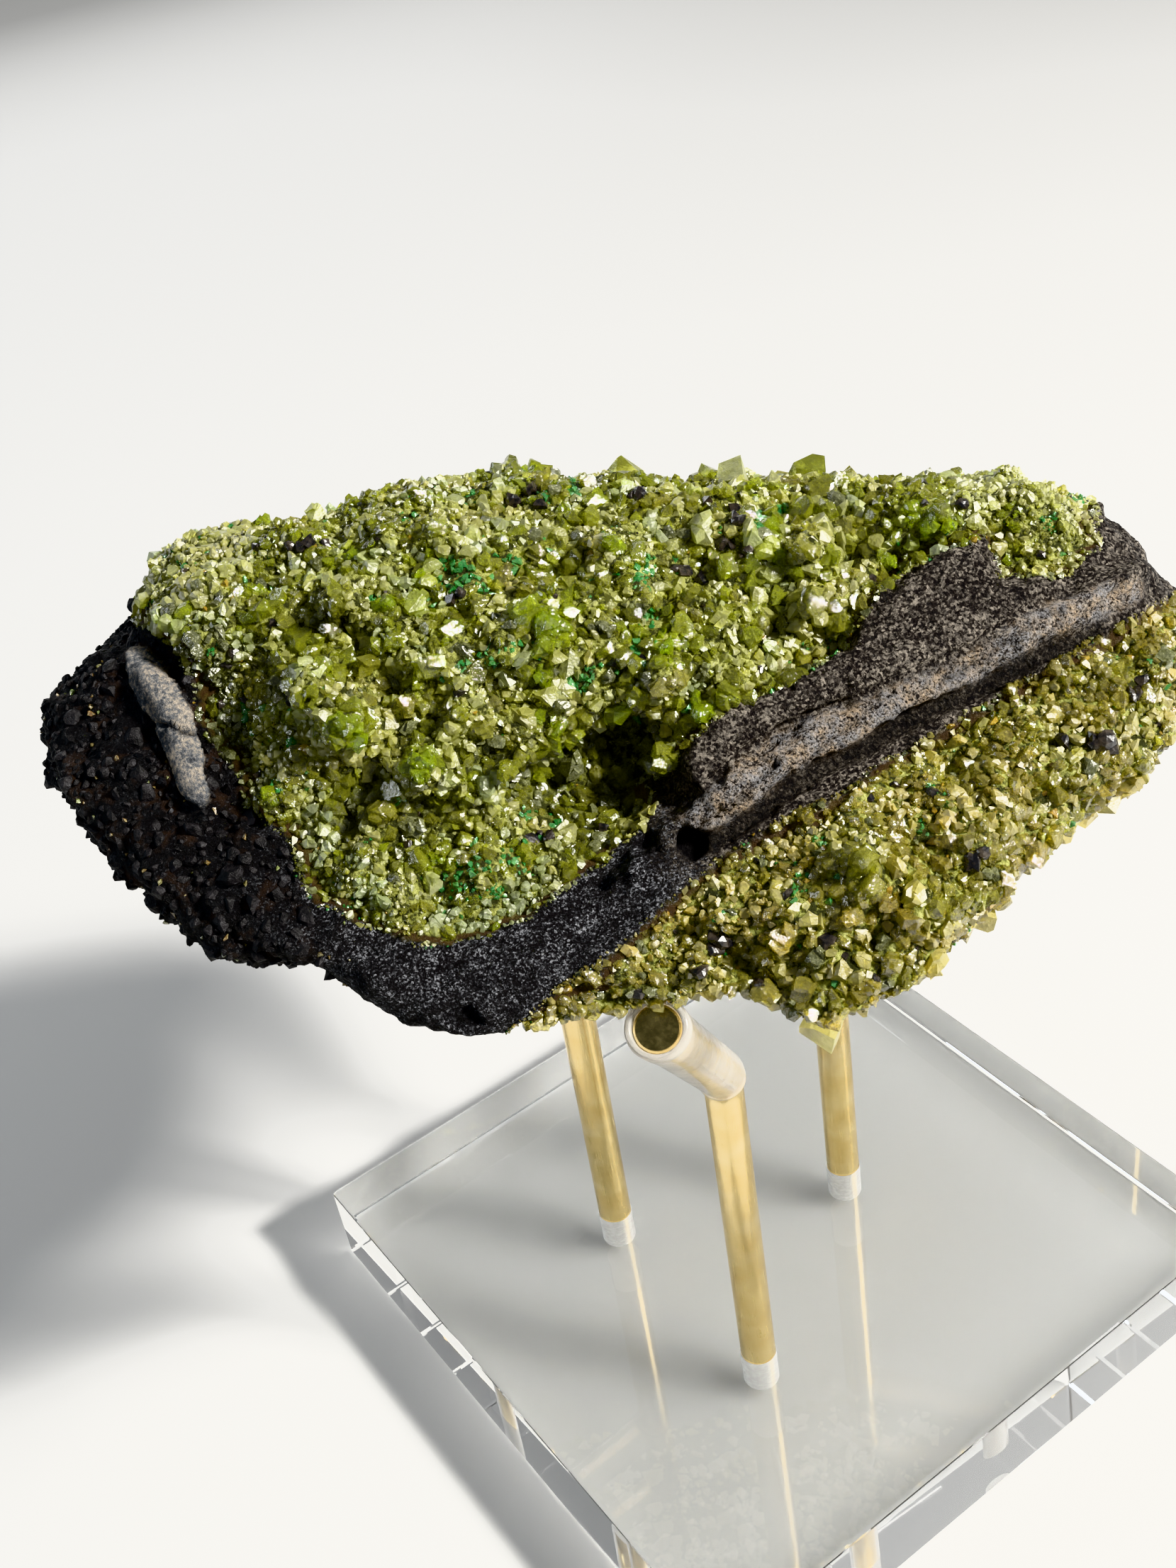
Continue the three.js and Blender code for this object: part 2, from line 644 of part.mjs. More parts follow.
// Keeps the one body that encloses the most, without loose crumbs or sealed bubbles.
// Where two corners of it touch, each is drawn in a little so that the skin stays simple.
function mainBody(solid) {
  let kept = solid.simplify(SMALLEST_DETAIL);
  for (let round = 0; round < 3; round += 1) {
    const geometry = geometryOf(kept);
    geometry.computeVertexNormals();
    const place = geometry.attributes.position;
    const taken = new Map();
    for (let i = 0; i < place.count; i += 1) {
      const spot = [place.getX(i), place.getY(i), place.getZ(i)];
      const key = spot.map((v) => Math.round(v / TOUCH)).join();
      const inward = new THREE.Vector3().fromBufferAttribute(geometry.attributes.normal, i);
      if (taken.has(key)) {
        for (const k of [i, taken.get(key)]) {
          const turn = inward.fromBufferAttribute(geometry.attributes.normal, k);
          const old = new THREE.Vector3().fromBufferAttribute(place, k);
          place.setXYZ(k, ...old.addScaledVector(turn, -4 * TOUCH).toArray());
        }
      }
      taken.set(key, i);
    }
    const joined = solidFrom(place.array, geometry.index.array);
    kept = joined.decompose().reduce((a, b) => (b.volume() > a.volume() ? b : a));
  }
  return kept;
}

function pocketAndHoles() {
  const random = chance(19);
  const solids = [lump(onFace(POCKET.at, 0.4), POCKET.size, random)];
  for (const hole of VESICLES) {
    solids.push(lump(onFace(hole.at, 0.4), [hole.radius, hole.radius, hole.radius * 1.6], random));
  }
  return solids;
}

function stoneGeometry() {
  let stone = stoneBody();
  const added = [
    plate(SLAB, 2.0, -3, 14),
    plate(FLAKE, 1.3, -3, 10),
    bar(RIDGE_LINE, { half: 34, halfTop: 13, top: 1.5, bottom: -2.5 }),
    ...crystals(6, [260, 690, 1050, 1250], [1.5, 2.6], 3),
    ...crystals(2, [1040, 690, 1560, 900], [1.3, 2.0], 5),
    ...crystals(2, [950, 930, 1680, 1430], [1.2, 1.9], 11),
    ...knobs(7, [75, 930, 300, 1340], [1.1, 2.1], 7),
    ...knobs(2, [300, 1300, 700, 1450], [0.9, 1.5], 23),
    ...DARK_GRAINS.map(darkGrain),
  ];
  for (const solid of added) {
    stone = stone.add(solid);
  }
  const removed = [
    bar(CRACK_LINE, { half: 4, halfTop: 12, top: 3.5, bottom: -1.6 }),
    bar(RECESS_LINE, { half: 5, halfTop: 15, top: 3.0, bottom: -1.3 }),
    ...pocketAndHoles(),
    ...RODS.map(armRoom),
  ];
  for (const solid of removed) {
    stone = stone.subtract(solid);
  }
  return geometryOf(mainBody(stone));
}

function acrylic() {
  return new THREE.MeshStandardMaterial({ name: 'clear_block', color: '#dfe6e6', roughness: 0.05 });
}

function brass() {
  return new THREE.MeshStandardMaterial({ name: 'brass', color: '#c9a24e', roughness: 0.3, metalness: 1 });
}

function clearSleeve() {
  return new THREE.MeshStandardMaterial({ name: 'clear_sleeve', color: '#d8d2c4', roughness: 0.2 });
}

function rockMaterial() {
  return new THREE.MeshStandardMaterial({ name: 'rock', color: '#8a9440', roughness: 0.5 });
}

function node(name, geometry, material) {
  const mesh = new THREE.Mesh(geometry, material);
  mesh.name = name;
  return mesh;
}

const object = new THREE.Group();
object.add(node('acrylic_block', blockGeometry(), acrylic()));
for (const rod of RODS) {
  object.add(node(`brass_rod_${rod.name}`, rodGeometry(rod), brass()));
  object.add(node(`clear_sleeve_${rod.name}`, sleeveGeometry(rod), clearSleeve()));
}
object.add(node('peridot_stone', stoneGeometry(), rockMaterial()));

export default object;
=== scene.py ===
# %% [markdown]
# # A peridot stone on a clear stand
# The real object is a hand-size piece of rock brought up by a volcano: a crowd of glassy green
# olivine grains (peridot) with a band of dark basalt across it. It lies on three bent brass rods
# with soft clear sleeves, and the rods stand in a square clear block.
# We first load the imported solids, because every piece below has to sit exactly on them.

import json
import math

import bmesh
import bpy
import numpy as np
from mathutils import Matrix, Quaternion, Vector
from mathutils import noise as wave

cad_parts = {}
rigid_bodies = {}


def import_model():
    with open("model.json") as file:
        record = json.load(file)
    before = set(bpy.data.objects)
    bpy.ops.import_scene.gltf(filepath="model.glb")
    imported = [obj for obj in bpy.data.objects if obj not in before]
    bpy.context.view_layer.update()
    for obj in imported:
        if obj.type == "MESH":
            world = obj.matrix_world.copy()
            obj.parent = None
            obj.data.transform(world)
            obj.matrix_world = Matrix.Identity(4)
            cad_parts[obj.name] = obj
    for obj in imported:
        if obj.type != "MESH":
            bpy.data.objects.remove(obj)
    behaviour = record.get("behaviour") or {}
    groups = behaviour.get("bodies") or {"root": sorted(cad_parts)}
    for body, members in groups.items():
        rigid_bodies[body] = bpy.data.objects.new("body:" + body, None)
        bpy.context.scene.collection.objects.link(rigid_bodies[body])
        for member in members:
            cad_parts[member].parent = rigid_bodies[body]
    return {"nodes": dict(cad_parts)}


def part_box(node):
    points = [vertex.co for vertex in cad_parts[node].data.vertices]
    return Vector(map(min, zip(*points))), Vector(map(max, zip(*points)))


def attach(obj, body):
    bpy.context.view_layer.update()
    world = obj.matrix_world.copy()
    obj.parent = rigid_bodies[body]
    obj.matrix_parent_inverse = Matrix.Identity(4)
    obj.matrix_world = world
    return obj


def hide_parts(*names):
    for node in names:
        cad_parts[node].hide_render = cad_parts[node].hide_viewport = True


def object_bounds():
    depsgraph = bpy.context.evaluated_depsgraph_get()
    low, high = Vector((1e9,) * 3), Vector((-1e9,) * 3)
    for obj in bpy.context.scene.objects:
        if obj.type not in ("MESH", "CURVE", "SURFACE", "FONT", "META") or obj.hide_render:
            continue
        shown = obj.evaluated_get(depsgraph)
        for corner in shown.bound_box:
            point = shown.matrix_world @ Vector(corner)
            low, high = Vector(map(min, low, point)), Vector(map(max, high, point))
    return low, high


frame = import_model()
CAD_BOX = [list(corner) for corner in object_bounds()]
MM = 0.001
print("solids:", sorted(frame["nodes"]))
print("box in mm:", [[round(v / MM, 1) for v in corner] for corner in CAD_BOX])

# %% [markdown]
# ## Where the photographer stood
# A photograph fixes the eye point, the tilt and the roll of the camera. Once those are known, any
# point of the stone can be asked which pixel shows it. That lets us say "the dark band runs from
# here to here" in pixels, and still place everything in real space, so it looks right from behind too.

# %% The eye of the photograph
EYE = np.array((-10.2, -119.8, 153.1)) * MM
EYE_PITCH = math.radians(36.6)
EYE_ROLL = math.radians(9.7)
FOCUS_PIXELS = 2604
PICTURE = (1659, 2212)
LONG_SENSOR_MM = 36
NEAREST_SEEN = 0.01
ahead = np.array((0, math.cos(EYE_PITCH), -math.sin(EYE_PITCH)))
level_down = np.array((0, -math.sin(EYE_PITCH), -math.cos(EYE_PITCH)))
rightward = np.array((math.cos(EYE_ROLL), 0, 0)) + math.sin(EYE_ROLL) * level_down
downward = np.array((-math.sin(EYE_ROLL), 0, 0)) + math.cos(EYE_ROLL) * level_down


def pixels_of(points):
    """The pixel that shows each point."""
    offset = points - EYE
    depth = offset @ ahead
    across = PICTURE[0] / 2 + FOCUS_PIXELS * (offset @ rightward) / depth
    down = PICTURE[1] / 2 + FOCUS_PIXELS * (offset @ downward) / depth
    return np.stack([across, down], axis=1)


print("eye", EYE, "looks along", ahead.round(3))

# %% Set up the camera
camera_data = bpy.data.cameras.new("photo_camera")
camera_data.sensor_width = LONG_SENSOR_MM
camera_data.lens = FOCUS_PIXELS * LONG_SENSOR_MM / PICTURE[1]
camera_data.clip_start = NEAREST_SEEN
camera = bpy.data.objects.new("photo_camera", camera_data)
bpy.context.scene.collection.objects.link(camera)
turn = Matrix([rightward, -downward, -ahead]).transposed()
camera.matrix_world = Matrix.Translation(Vector(EYE)) @ turn.to_4x4()
bpy.context.scene.camera = camera
print("lens", round(camera_data.lens, 1), "mm")

# %% [markdown]
# ## The floor and the light
# A stone like this lives from its glints and its dark gaps. One soft key panel stands high on the
# right in front, where the light of the photograph came from, so every grain gets a bright side and
# a shaded side. A dim panel on the left, another one behind and a pale sky keep the shaded side
# readable. Light bounces many times inside the grains, so it gets more bounces than usual. We choose
# the neutral picture transform because it keeps the colours of the materials as they are.

# %% Floor
FLOOR_SIZE = 3.0
FLOOR_DROP = 0.05 * MM
FLOOR_GREY = (0.42, 0.42, 0.415)
FLOOR_ROUGHNESS = 0.6
MOST_BOUNCES = 20
MOST_REFLECTIONS = 10
bpy.ops.mesh.primitive_plane_add(size=FLOOR_SIZE, location=(0, 0, -FLOOR_DROP))
floor = bpy.context.object
floor.name = "pale_floor"
floor_paint = bpy.data.materials.new("pale_floor")
floor_paint.use_nodes = True
paint = floor_paint.node_tree.nodes["Principled BSDF"]
paint.inputs["Base Color"].default_value = (*FLOOR_GREY, 1)
paint.inputs["Roughness"].default_value = FLOOR_ROUGHNESS
floor.data.materials.append(floor_paint)
print("floor:", FLOOR_SIZE, "m wide")
bpy.context.scene.view_settings.view_transform = "Khronos PBR Neutral"
bpy.context.scene.cycles.max_bounces = MOST_BOUNCES
bpy.context.scene.cycles.glossy_bounces = MOST_REFLECTIONS
bpy.context.scene.cycles.transmission_bounces = MOST_BOUNCES


# %% Lights
def add_panel(name, way, distance, size, watts, tint=(1, 1, 1)):
    """A soft rectangular light that looks at the stone from some way."""
    data = bpy.data.lights.new(name, "AREA")
    data.shape = "RECTANGLE"
    data.size, data.size_y = size
    data.energy = watts
    data.color = tint
    panel = bpy.data.objects.new(name, data)
    panel.location = STONE_MIDDLE + Vector(way).normalized() * distance
    panel.rotation_euler = Vector(way).to_track_quat("Z", "Y").to_euler()
    bpy.context.scene.collection.objects.link(panel)


STONE_MIDDLE = Vector((-0.007, -0.010, 0.080))
SKY_TINT = (0.86, 0.88, 0.90)
SKY_STRENGTH = 0.40
add_panel("key_panel", (0.74, -0.36, 0.58), 0.55, (0.07, 0.07), 17.5, (1.0, 0.97, 0.92))
add_panel("left_panel", (-0.93, 0.05, 0.28), 0.60, (0.40, 0.20), 2.2, (0.90, 0.95, 1.0))
add_panel("back_panel", (-0.30, 0.85, 0.22), 0.60, (0.50, 0.22), 1.2)
world = bpy.data.worlds.new("studio")
world.use_nodes = True
sky = world.node_tree.nodes["Background"]
sky.inputs["Color"].default_value = (*SKY_TINT, 1)
sky.inputs["Strength"].default_value = SKY_STRENGTH
bpy.context.scene.world = world

# %% [markdown]
# ## Green rock and dark rock
# The stone has two kinds of rock, and the line between them is one of the first things the eye
# reads. We write both green areas down as outlines in pixels of the photograph, and measure how far
# inside or outside of them a point lies. The dark rock carries on straight through, so it shows at
# the ends and underneath too. The slab, the ridge, the gas bubbles and the pale flake on the dark
# rock are outlines of the same kind.

# %% Outlines of the green areas
UPPER_GREEN = [
    (191, 876), (221, 892), (248, 914), (276, 969), (281, 1013), (303, 1057), (342, 1095), (347, 1134),
    (380, 1161), (413, 1194), (418, 1232), (446, 1271), (523, 1309), (610, 1339), (687, 1317),
    (742, 1293), (797, 1260), (857, 1210), (926, 1145), (915, 1100), (943, 1087), (1001, 1018),
    (1035, 995), (1081, 978), (1127, 955), (1196, 909), (1213, 875), (1236, 841), (1276, 806),
    (1328, 778), (1391, 755), (1414, 812), (1505, 812), (1551, 772), (1540, 640), (700, 560),
    (200, 640),
]
LOWER_GREEN = [
    (1720, 800), (1609, 864), (1551, 898), (1500, 927), (1442, 961), (1391, 995), (1333, 1024),
    (1276, 1059), (1230, 1087), (1190, 1116), (1127, 1145), (1081, 1167), (1029, 1202), (989, 1231),
    (949, 1265), (915, 1299), (875, 1334), (834, 1362), (794, 1391), (715, 1457), (740, 1600),
    (1400, 1600), (1800, 1000),
]
SLAB = [
    (945, 1122), (938, 1100), (950, 1075), (998, 1018), (1049, 970), (1151, 935), (1203, 912),
    (1218, 868), (1273, 797), (1321, 770), (1384, 754), (1403, 786), (1415, 813), (1478, 805),
    (1533, 818), (1478, 837), (1431, 864), (1368, 908), (1321, 931), (1258, 955), (1211, 978),
    (1163, 990), (1116, 1010), (1069, 1037), (1006, 1093), (951, 1120),
]
RIDGE_FOOT = [
    (1540, 890), (1478, 915), (1384, 970), (1329, 994), (1289, 1010), (1250, 1034), (1211, 1057),
    (1155, 1081), (1116, 1108), (1069, 1144), (1022, 1175), (974, 1193),
]
RIDGE = [
    (940, 1150), (1006, 1097), (1069, 1041), (1116, 1014), (1163, 994), (1211, 982), (1258, 959),
    (1321, 935), (1368, 912), (1431, 868), (1478, 841), (1533, 824), (1610, 800), (1625, 850),
    *RIDGE_FOOT,
]
VESICLES = [
    [(911, 1168), (926, 1176), (941, 1210), (918, 1206), (895, 1206), (902, 1180)],
    [(953, 1172), (968, 1162), (988, 1177), (998, 1197), (978, 1216), (966, 1204), (958, 1186)],
    [(625, 1432), (637, 1418), (660, 1416), (680, 1432), (684, 1452), (668, 1460), (640, 1456)],
    [(744, 1372), (752, 1376), (750, 1386), (742, 1380)],
    [(876, 1226), (892, 1236), (886, 1266), (872, 1284), (862, 1262)],
]
VESICLE_DEPTHS = (0.55, 0.70, 0.60, 0.4, 0.3)
FLAKE = [
    (180, 926), (187, 915), (206, 913), (230, 934), (243, 962), (258, 985), (274, 1012), (277, 1034),
    (284, 1062), (291, 1095), (294, 1128), (286, 1140), (262, 1128), (252, 1110), (248, 1084),
    (232, 1060), (222, 1024), (204, 1000), (190, 975), (181, 948),
]
FLAKE_CRACK = [(214, 1018), (240, 1024), (258, 1034), (282, 1040)]


def distance_to_line(points, line, closed=False):
    """Distance in pixels from each point to a bent line."""
    nearest = np.full(len(points), np.inf)
    count = len(line) if closed else len(line) - 1
    for i in range(count):
        a, b = np.array(line[i], float), np.array(line[(i + 1) % len(line)], float)
        along = np.clip((points - a) @ (b - a) / ((b - a) @ (b - a)), 0, 1)
        gap = points - a - along[:, None] * (b - a)
        nearest = np.minimum(nearest, np.hypot(gap[:, 0], gap[:, 1]))
    return nearest


def depth_inside(points, outline):
    """Pixels from each point to the outline: above zero inside it, below zero outside."""
    inside = np.zeros(len(points), bool)
    x, y = points[:, 0], points[:, 1]
    for i in range(len(outline)):
        (ax, ay), (bx, by) = outline[i], outline[(i + 1) % len(outline)]
        if ay != by:
            crosses = (ay > y) != (by > y)
            inside ^= crosses & (x < ax + (y - ay) * (bx - ax) / (by - ay))
    return distance_to_line(points, outline, closed=True) * np.where(inside, 1, -1)


print("green outlines of", len(UPPER_GREEN), "and", len(LOWER_GREEN), "points, slab of", len(SLAB))


# %% Wavy numbers for natural edges
def waves(points, size, seed=0):
    """Smooth noise from -1 to 1 at each point, with lumps of about the given size."""
    shift = Vector((seed * 7.3, seed * 3.1, seed * 5.7))
    return np.array([wave.noise(Vector(p) / size + shift) for p in points])


def cells(points, size, seed=0):
    """Distance to the middle of the nearest lump, 0 at its middle, for knobbly surfaces."""
    shift = Vector((seed * 2.9, seed * 8.3, seed * 4.1))
    return np.array([wave.voronoi(Vector(p) / size + shift)[0][0] for p in points])


def blend_step(value, low, high):
    """0 below low, 1 above high, and a smooth change between."""
    t = np.clip((value - low) / (high - low), 0, 1)
    return t * t * (3 - 2 * t)


RAGGED_PIXELS = 7
RAGGED_SIZE = 1.6 * MM


def green_depth(points):
    """Pixels inside the nearer green area, with the contact a little ragged."""
    where = pixels_of(points)
    inside = np.maximum(depth_inside(where, UPPER_GREEN), depth_inside(where, LOWER_GREEN))
    return inside + RAGGED_PIXELS * waves(points, RAGGED_SIZE, 3)


# %% [markdown]
# ## The rock body
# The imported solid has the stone's large shapes in coarse facets. A remesh turns it into an even
# skin of small squares, and then each corner can be moved by a formula: the dark rock is smoothed
# and roughened, the green rock is sunk a little to leave room for its grains. Moving points by
# formula keeps the shape repeatable, which sculpting by hand would not. The lower edge is pushed by
# up to a millimetre first, to follow the photograph. The dark rock's squares are then split in four,
# because its furrows need small squares, while the green rock's squares vanish under the grains.


# %% Helpers for meshes
def corner_array(mesh, what="co"):
    """The places (or normals) of a mesh's corners as an array."""
    values = np.empty(len(mesh.vertices) * 3)
    mesh.vertices.foreach_get(what, values)
    return values.reshape(-1, 3)


def placed(name, mesh):
    """A new object in the scene that shows a mesh."""
    piece = bpy.data.objects.new(name, mesh)
    bpy.context.scene.collection.objects.link(piece)
    return piece


def finished_mesh(piece):
    """The mesh of a piece with its modifiers worked out."""
    graph = bpy.context.evaluated_depsgraph_get()
    return bpy.data.meshes.new_from_object(piece.evaluated_get(graph))


def store(mesh, name, values):
    """Keeps one number per corner, for a material to read."""
    layer = mesh.attributes.new(name, "FLOAT", "POINT")
    layer.data.foreach_set("value", np.asarray(values, np.float32))


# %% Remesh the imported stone
SKIN_SIZE = 0.60 * MM
source = placed("rock_body", frame["nodes"]["peridot_stone"].data.copy())
remesh = source.modifiers.new("even_skin", "REMESH")
remesh.mode = "VOXEL"
remesh.voxel_size = SKIN_SIZE
skin = finished_mesh(source)
bpy.data.objects.remove(source)
skin_corners = corner_array(skin)
skin_edges = np.array([edge.vertices[:] for edge in skin.edges])
print("skin:", len(skin_corners), "corners,", len(skin.polygons), "squares")


# %% Smooth the facets away
FACET_SHARE, FACET_ROUNDS = 0.5, 6


def smoothed(corners, edges, share, rounds):
    """Moves corners towards their neighbours, by a share per corner."""
    counts = np.bincount(edges.ravel(), minlength=len(corners))[:, None]
    for _ in range(rounds):
        total = np.zeros_like(corners)
        np.add.at(total, edges[:, 0], corners[edges[:, 1]])
        np.add.at(total, edges[:, 1], corners[edges[:, 0]])
        corners = corners + share[:, None] * (total / counts - corners)
    return corners


everywhere = np.full(len(skin_corners), FACET_SHARE)
skin_corners = smoothed(skin_corners, skin_edges, everywhere, FACET_ROUNDS)
print("smoothed", len(skin_corners), "corners")

# %% Fit the lower edge
# Each row: a pixel, the reach in pixels, and the push downwards in millimetres.
EDGE_PUSHES = [(700, 1440, 110, 1.0), (440, 1385, 60, -0.9), (300, 1330, 50, 0.4), (1160, 1425, 70, 0.6)]
spots = pixels_of(skin_corners)
for x, y, reach, push in EDGE_PUSHES:
    near = np.exp(-((spots[:, 0] - x) ** 2 + (spots[:, 1] - y) ** 2) / reach ** 2)
    skin_corners += (near * push * MM)[:, None] * downward
skin.vertices.foreach_set("co", skin_corners.ravel())
print("lower edge fitted at", len(EDGE_PUSHES), "spots")

# %% Make the dark rock's skin finer
DARK_LIMIT = 6
DARK_SHARE, DARK_ROUNDS = 0.4, 3
net = bmesh.new()
net.from_mesh(skin)
dark_here = green_depth(skin_corners) < DARK_LIMIT
fine_edges = [edge for edge in net.edges if all(dark_here[corner.index] for corner in edge.verts)]
bmesh.ops.subdivide_edges(net, edges=fine_edges, cuts=1, use_grid_fill=True)
bmesh.ops.triangulate(net, faces=[face for face in net.faces if len(face.verts) > 4])
net.to_mesh(skin)
net.free()
skin_corners = corner_array(skin)
skin_edges = np.array([edge.vertices[:] for edge in skin.edges])
dark_edge = green_depth(skin_corners)
green = blend_step(dark_edge, -4, 10)
skin_corners = smoothed(skin_corners, skin_edges, DARK_SHARE * (1 - green), DARK_ROUNDS)
skin.vertices.foreach_set("co", skin_corners.ravel())
skin.update()
skin_normals = corner_array(skin, "normal")
print("skin now:", len(skin_corners), "corners, green share", round(float(green.mean()), 2))

# %% Where the features of the dark rock lie
TOWARDS_EYE = 0.1
LEFT_END = (330, 520)
RIGHT_PART = (925, 1020)
VEIN_WAY = np.array((0.83, 0.36, 0.42)) / np.linalg.norm((0.83, 0.36, 0.42))
spots = pixels_of(skin_corners)
facing = (skin_normals @ -ahead > TOWARDS_EYE).astype(float)
left_end = blend_step(-spots[:, 0], -LEFT_END[1], -LEFT_END[0])
right_part = blend_step(spots[:, 0], *RIGHT_PART)
ragged = 4 * waves(skin_corners, 1.4 * MM, 8)
slab = facing * blend_step(depth_inside(spots, SLAB) + ragged, -2, 5)
ridge = facing * blend_step(depth_inside(spots, RIDGE) + ragged, 0, 20)
foot_gap = distance_to_line(spots, RIDGE_FOOT) + 0.8 * ragged
recess = facing * (1 - ridge) * (1 - slab) * (1 - blend_step(foot_gap, 5, 22))
along_ridge = np.maximum(ridge, recess)
crack = facing * (1 - blend_step(np.abs(depth_inside(spots, SLAB) + ragged), 0, 5)) * (ridge > 0.02)
flake = facing * blend_step(depth_inside(spots, FLAKE) + 4 * waves(skin_corners, 1.2 * MM, 12), -2, 2)
flake_gap = distance_to_line(spots, FLAKE_CRACK)
flake_crack = flake * (1 - blend_step(flake_gap + ragged, 1, 5))
pits = np.zeros(len(spots))
for outline, depth in zip(VESICLES, VESICLE_DEPTHS):
    hollow = blend_step(depth_inside(spots, outline) + 0.5 * ragged, -3, 7)
    pits = np.maximum(pits, facing * depth * hollow)
print("slab, ridge and flake cover", [int((part > 0.5).sum()) for part in (slab, ridge, flake)], "corners")


# %% Roughen the dark rock
def along_vein(points, share):
    """Points squeezed along the vein, so that waves on them come out long."""
    return points - share * np.outer(points @ VEIN_WAY, VEIN_WAY)


SLAB_HEIGHT, RIDGE_HEIGHT, FLAKE_HEIGHT = 0.35, 0.24, 0.38
RECESS_DEPTH, CRACK_DEPTH, FURROW_DEPTH, FLAKE_CRACK_DEPTH = 0.75, 0.30, 0.32, 0.45
stretched = along_vein(skin_corners, 0.65)
dark_relief = np.zeros(len(spots))
# Each row: the height in millimetres, the points, the size of the waves and their seed.
for height, points, size_mm, seed in [
    (0.30, stretched, 1.7, 1), (0.16, skin_corners, 0.8, 2), (0.12 + 0.14 * slab, skin_corners, 0.42, 14),
    (0.22 * along_ridge, stretched, 0.62, 37), (0.20 * along_ridge, skin_corners, 0.60, 38),
]:
    dark_relief += height * waves(points, size_mm * MM, seed)
furrow = ridge * (1 - blend_step(np.abs(waves(along_vein(skin_corners, 0.90), 1.5 * MM, 51)), 0.02, 0.11))
dark_relief -= FURROW_DEPTH * furrow
for top, fall, size_mm, seed in [(0.35, 0.9, 2.8, 5), (0.30, 0.55, 1.1, 13)]:
    dark_relief += left_end * (1 - flake) * (top - fall * cells(skin_corners, size_mm * MM, seed))
standing = right_part * (SLAB_HEIGHT * slab + RIDGE_HEIGHT * ridge)
dark_relief += standing - RECESS_DEPTH * recess - CRACK_DEPTH * crack - pits
flake_top = FLAKE_HEIGHT - dark_relief + 0.10 * waves(skin_corners, 0.9 * MM, 36)
dark_relief += flake * flake_top - FLAKE_CRACK_DEPTH * flake_crack
print("dark relief in mm:", dark_relief.min().round(2), "to", dark_relief.max().round(2))

# %% [markdown]
# ## Hollows and knolls of the green rock
# The crowd of grains isn't level: clusters stand out like knolls, and between them are deep shaded
# gaps. Smooth noise gives the general unrest, and the most striking hollows and knolls of the
# photograph are added one by one, each as a round dent or bump with its own size.

# %% Shape the green rock
# Each row: a pixel, a radius in pixels, and the depth or height in millimetres.
HOLLOWS = [
    (856, 1082, 56, 2.1), (812, 1100, 40, 1.3), (890, 1036, 36, 1.4), (880, 1120, 40, 1.0),
    (765, 1120, 55, 1.6), (690, 1058, 40, 1.3), (600, 1140, 46, 1.2), (505, 1115, 42, 1.7),
    (415, 1035, 40, 0.7), (330, 965, 42, 0.8), (468, 885, 26, 1.6), (482, 1165, 28, 1.5),
    (555, 1197, 26, 1.0), (832, 1180, 34, 1.2), (545, 965, 22, 1.4), (692, 960, 24, 1.2),
    (345, 1060, 30, 0.4), (467, 796, 18, 1.0), (1208, 786, 16, 1.1), (1094, 884, 18, 1.0),
    (1178, 905, 14, 0.9), (915, 856, 18, 0.9), (1491, 1045, 20, 0.9), (1543, 1060, 26, 1.1),
    (1240, 1330, 24, 1.0), (1060, 1400, 26, 1.0), (1390, 1236, 20, 0.8), (860, 1400, 40, 1.2),
    (940, 1385, 50, 1.0), (742, 700, 22, 0.6), (1040, 1340, 24, 0.7),
]
KNOLLS = [
    (493, 1030, 34, 1.9), (596, 1075, 26, 1.4), (655, 1008, 40, 0.9), (760, 880, 48, 0.9),
    (625, 742, 40, 0.6), (935, 958, 42, 1.4), (690, 1238, 50, 0.9), (560, 1258, 46, 0.5),
    (785, 1000, 28, 0.7), (398, 1130, 26, 0.8), (440, 955, 26, 0.9), (1148, 769, 42, 0.9),
    (1302, 742, 36, 0.6), (1029, 960, 36, 0.9), (994, 1010, 24, 0.7), (1138, 858, 34, 0.8),
    (940, 1080, 22, 1.0), (366, 1065, 24, 0.6), (1180, 1420, 40, 0.7), (300, 880, 50, 0.5),
]


def dents(where, marks):
    """Sum of round bumps given as pixel, radius and height in millimetres."""
    height = np.zeros(len(where))
    for x, y, radius, top in marks:
        height += top * np.exp(-((where[:, 0] - x) ** 2 + (where[:, 1] - y) ** 2) / (0.9 * radius) ** 2)
    return height


GRAIN_ROOM = 0.50
ROOM_INSIDE_BOX = 0.45 * MM
KNOLL_GROWTH = 1.25
green_relief = np.full(len(spots), -GRAIN_ROOM)
for height, size_mm, seed in [(0.95, 4.6, 4), (0.65, 1.9, 6)]:
    green_relief += height * waves(skin_corners, size_mm * MM, seed)
hollow_depth_and_shade = dents(spots, HOLLOWS)
green_relief += KNOLL_GROWTH * facing * (dents(spots, KNOLLS) - hollow_depth_and_shade)
relief = (green * green_relief + (1 - green) * dark_relief) * MM
skin_corners = skin_corners + relief[:, None] * skin_normals
inner_low, inner_high = np.array(CAD_BOX[0]) + ROOM_INSIDE_BOX, np.array(CAD_BOX[1]) - ROOM_INSIDE_BOX
skin_corners = np.clip(skin_corners, inner_low, inner_high)
skin.vertices.foreach_set("co", skin_corners.ravel())
skin.update()
skin_normals = corner_array(skin, "normal")
spots = pixels_of(skin_corners)
print("relief in mm:", (relief.min() / MM).round(2), "to", (relief.max() / MM).round(2))

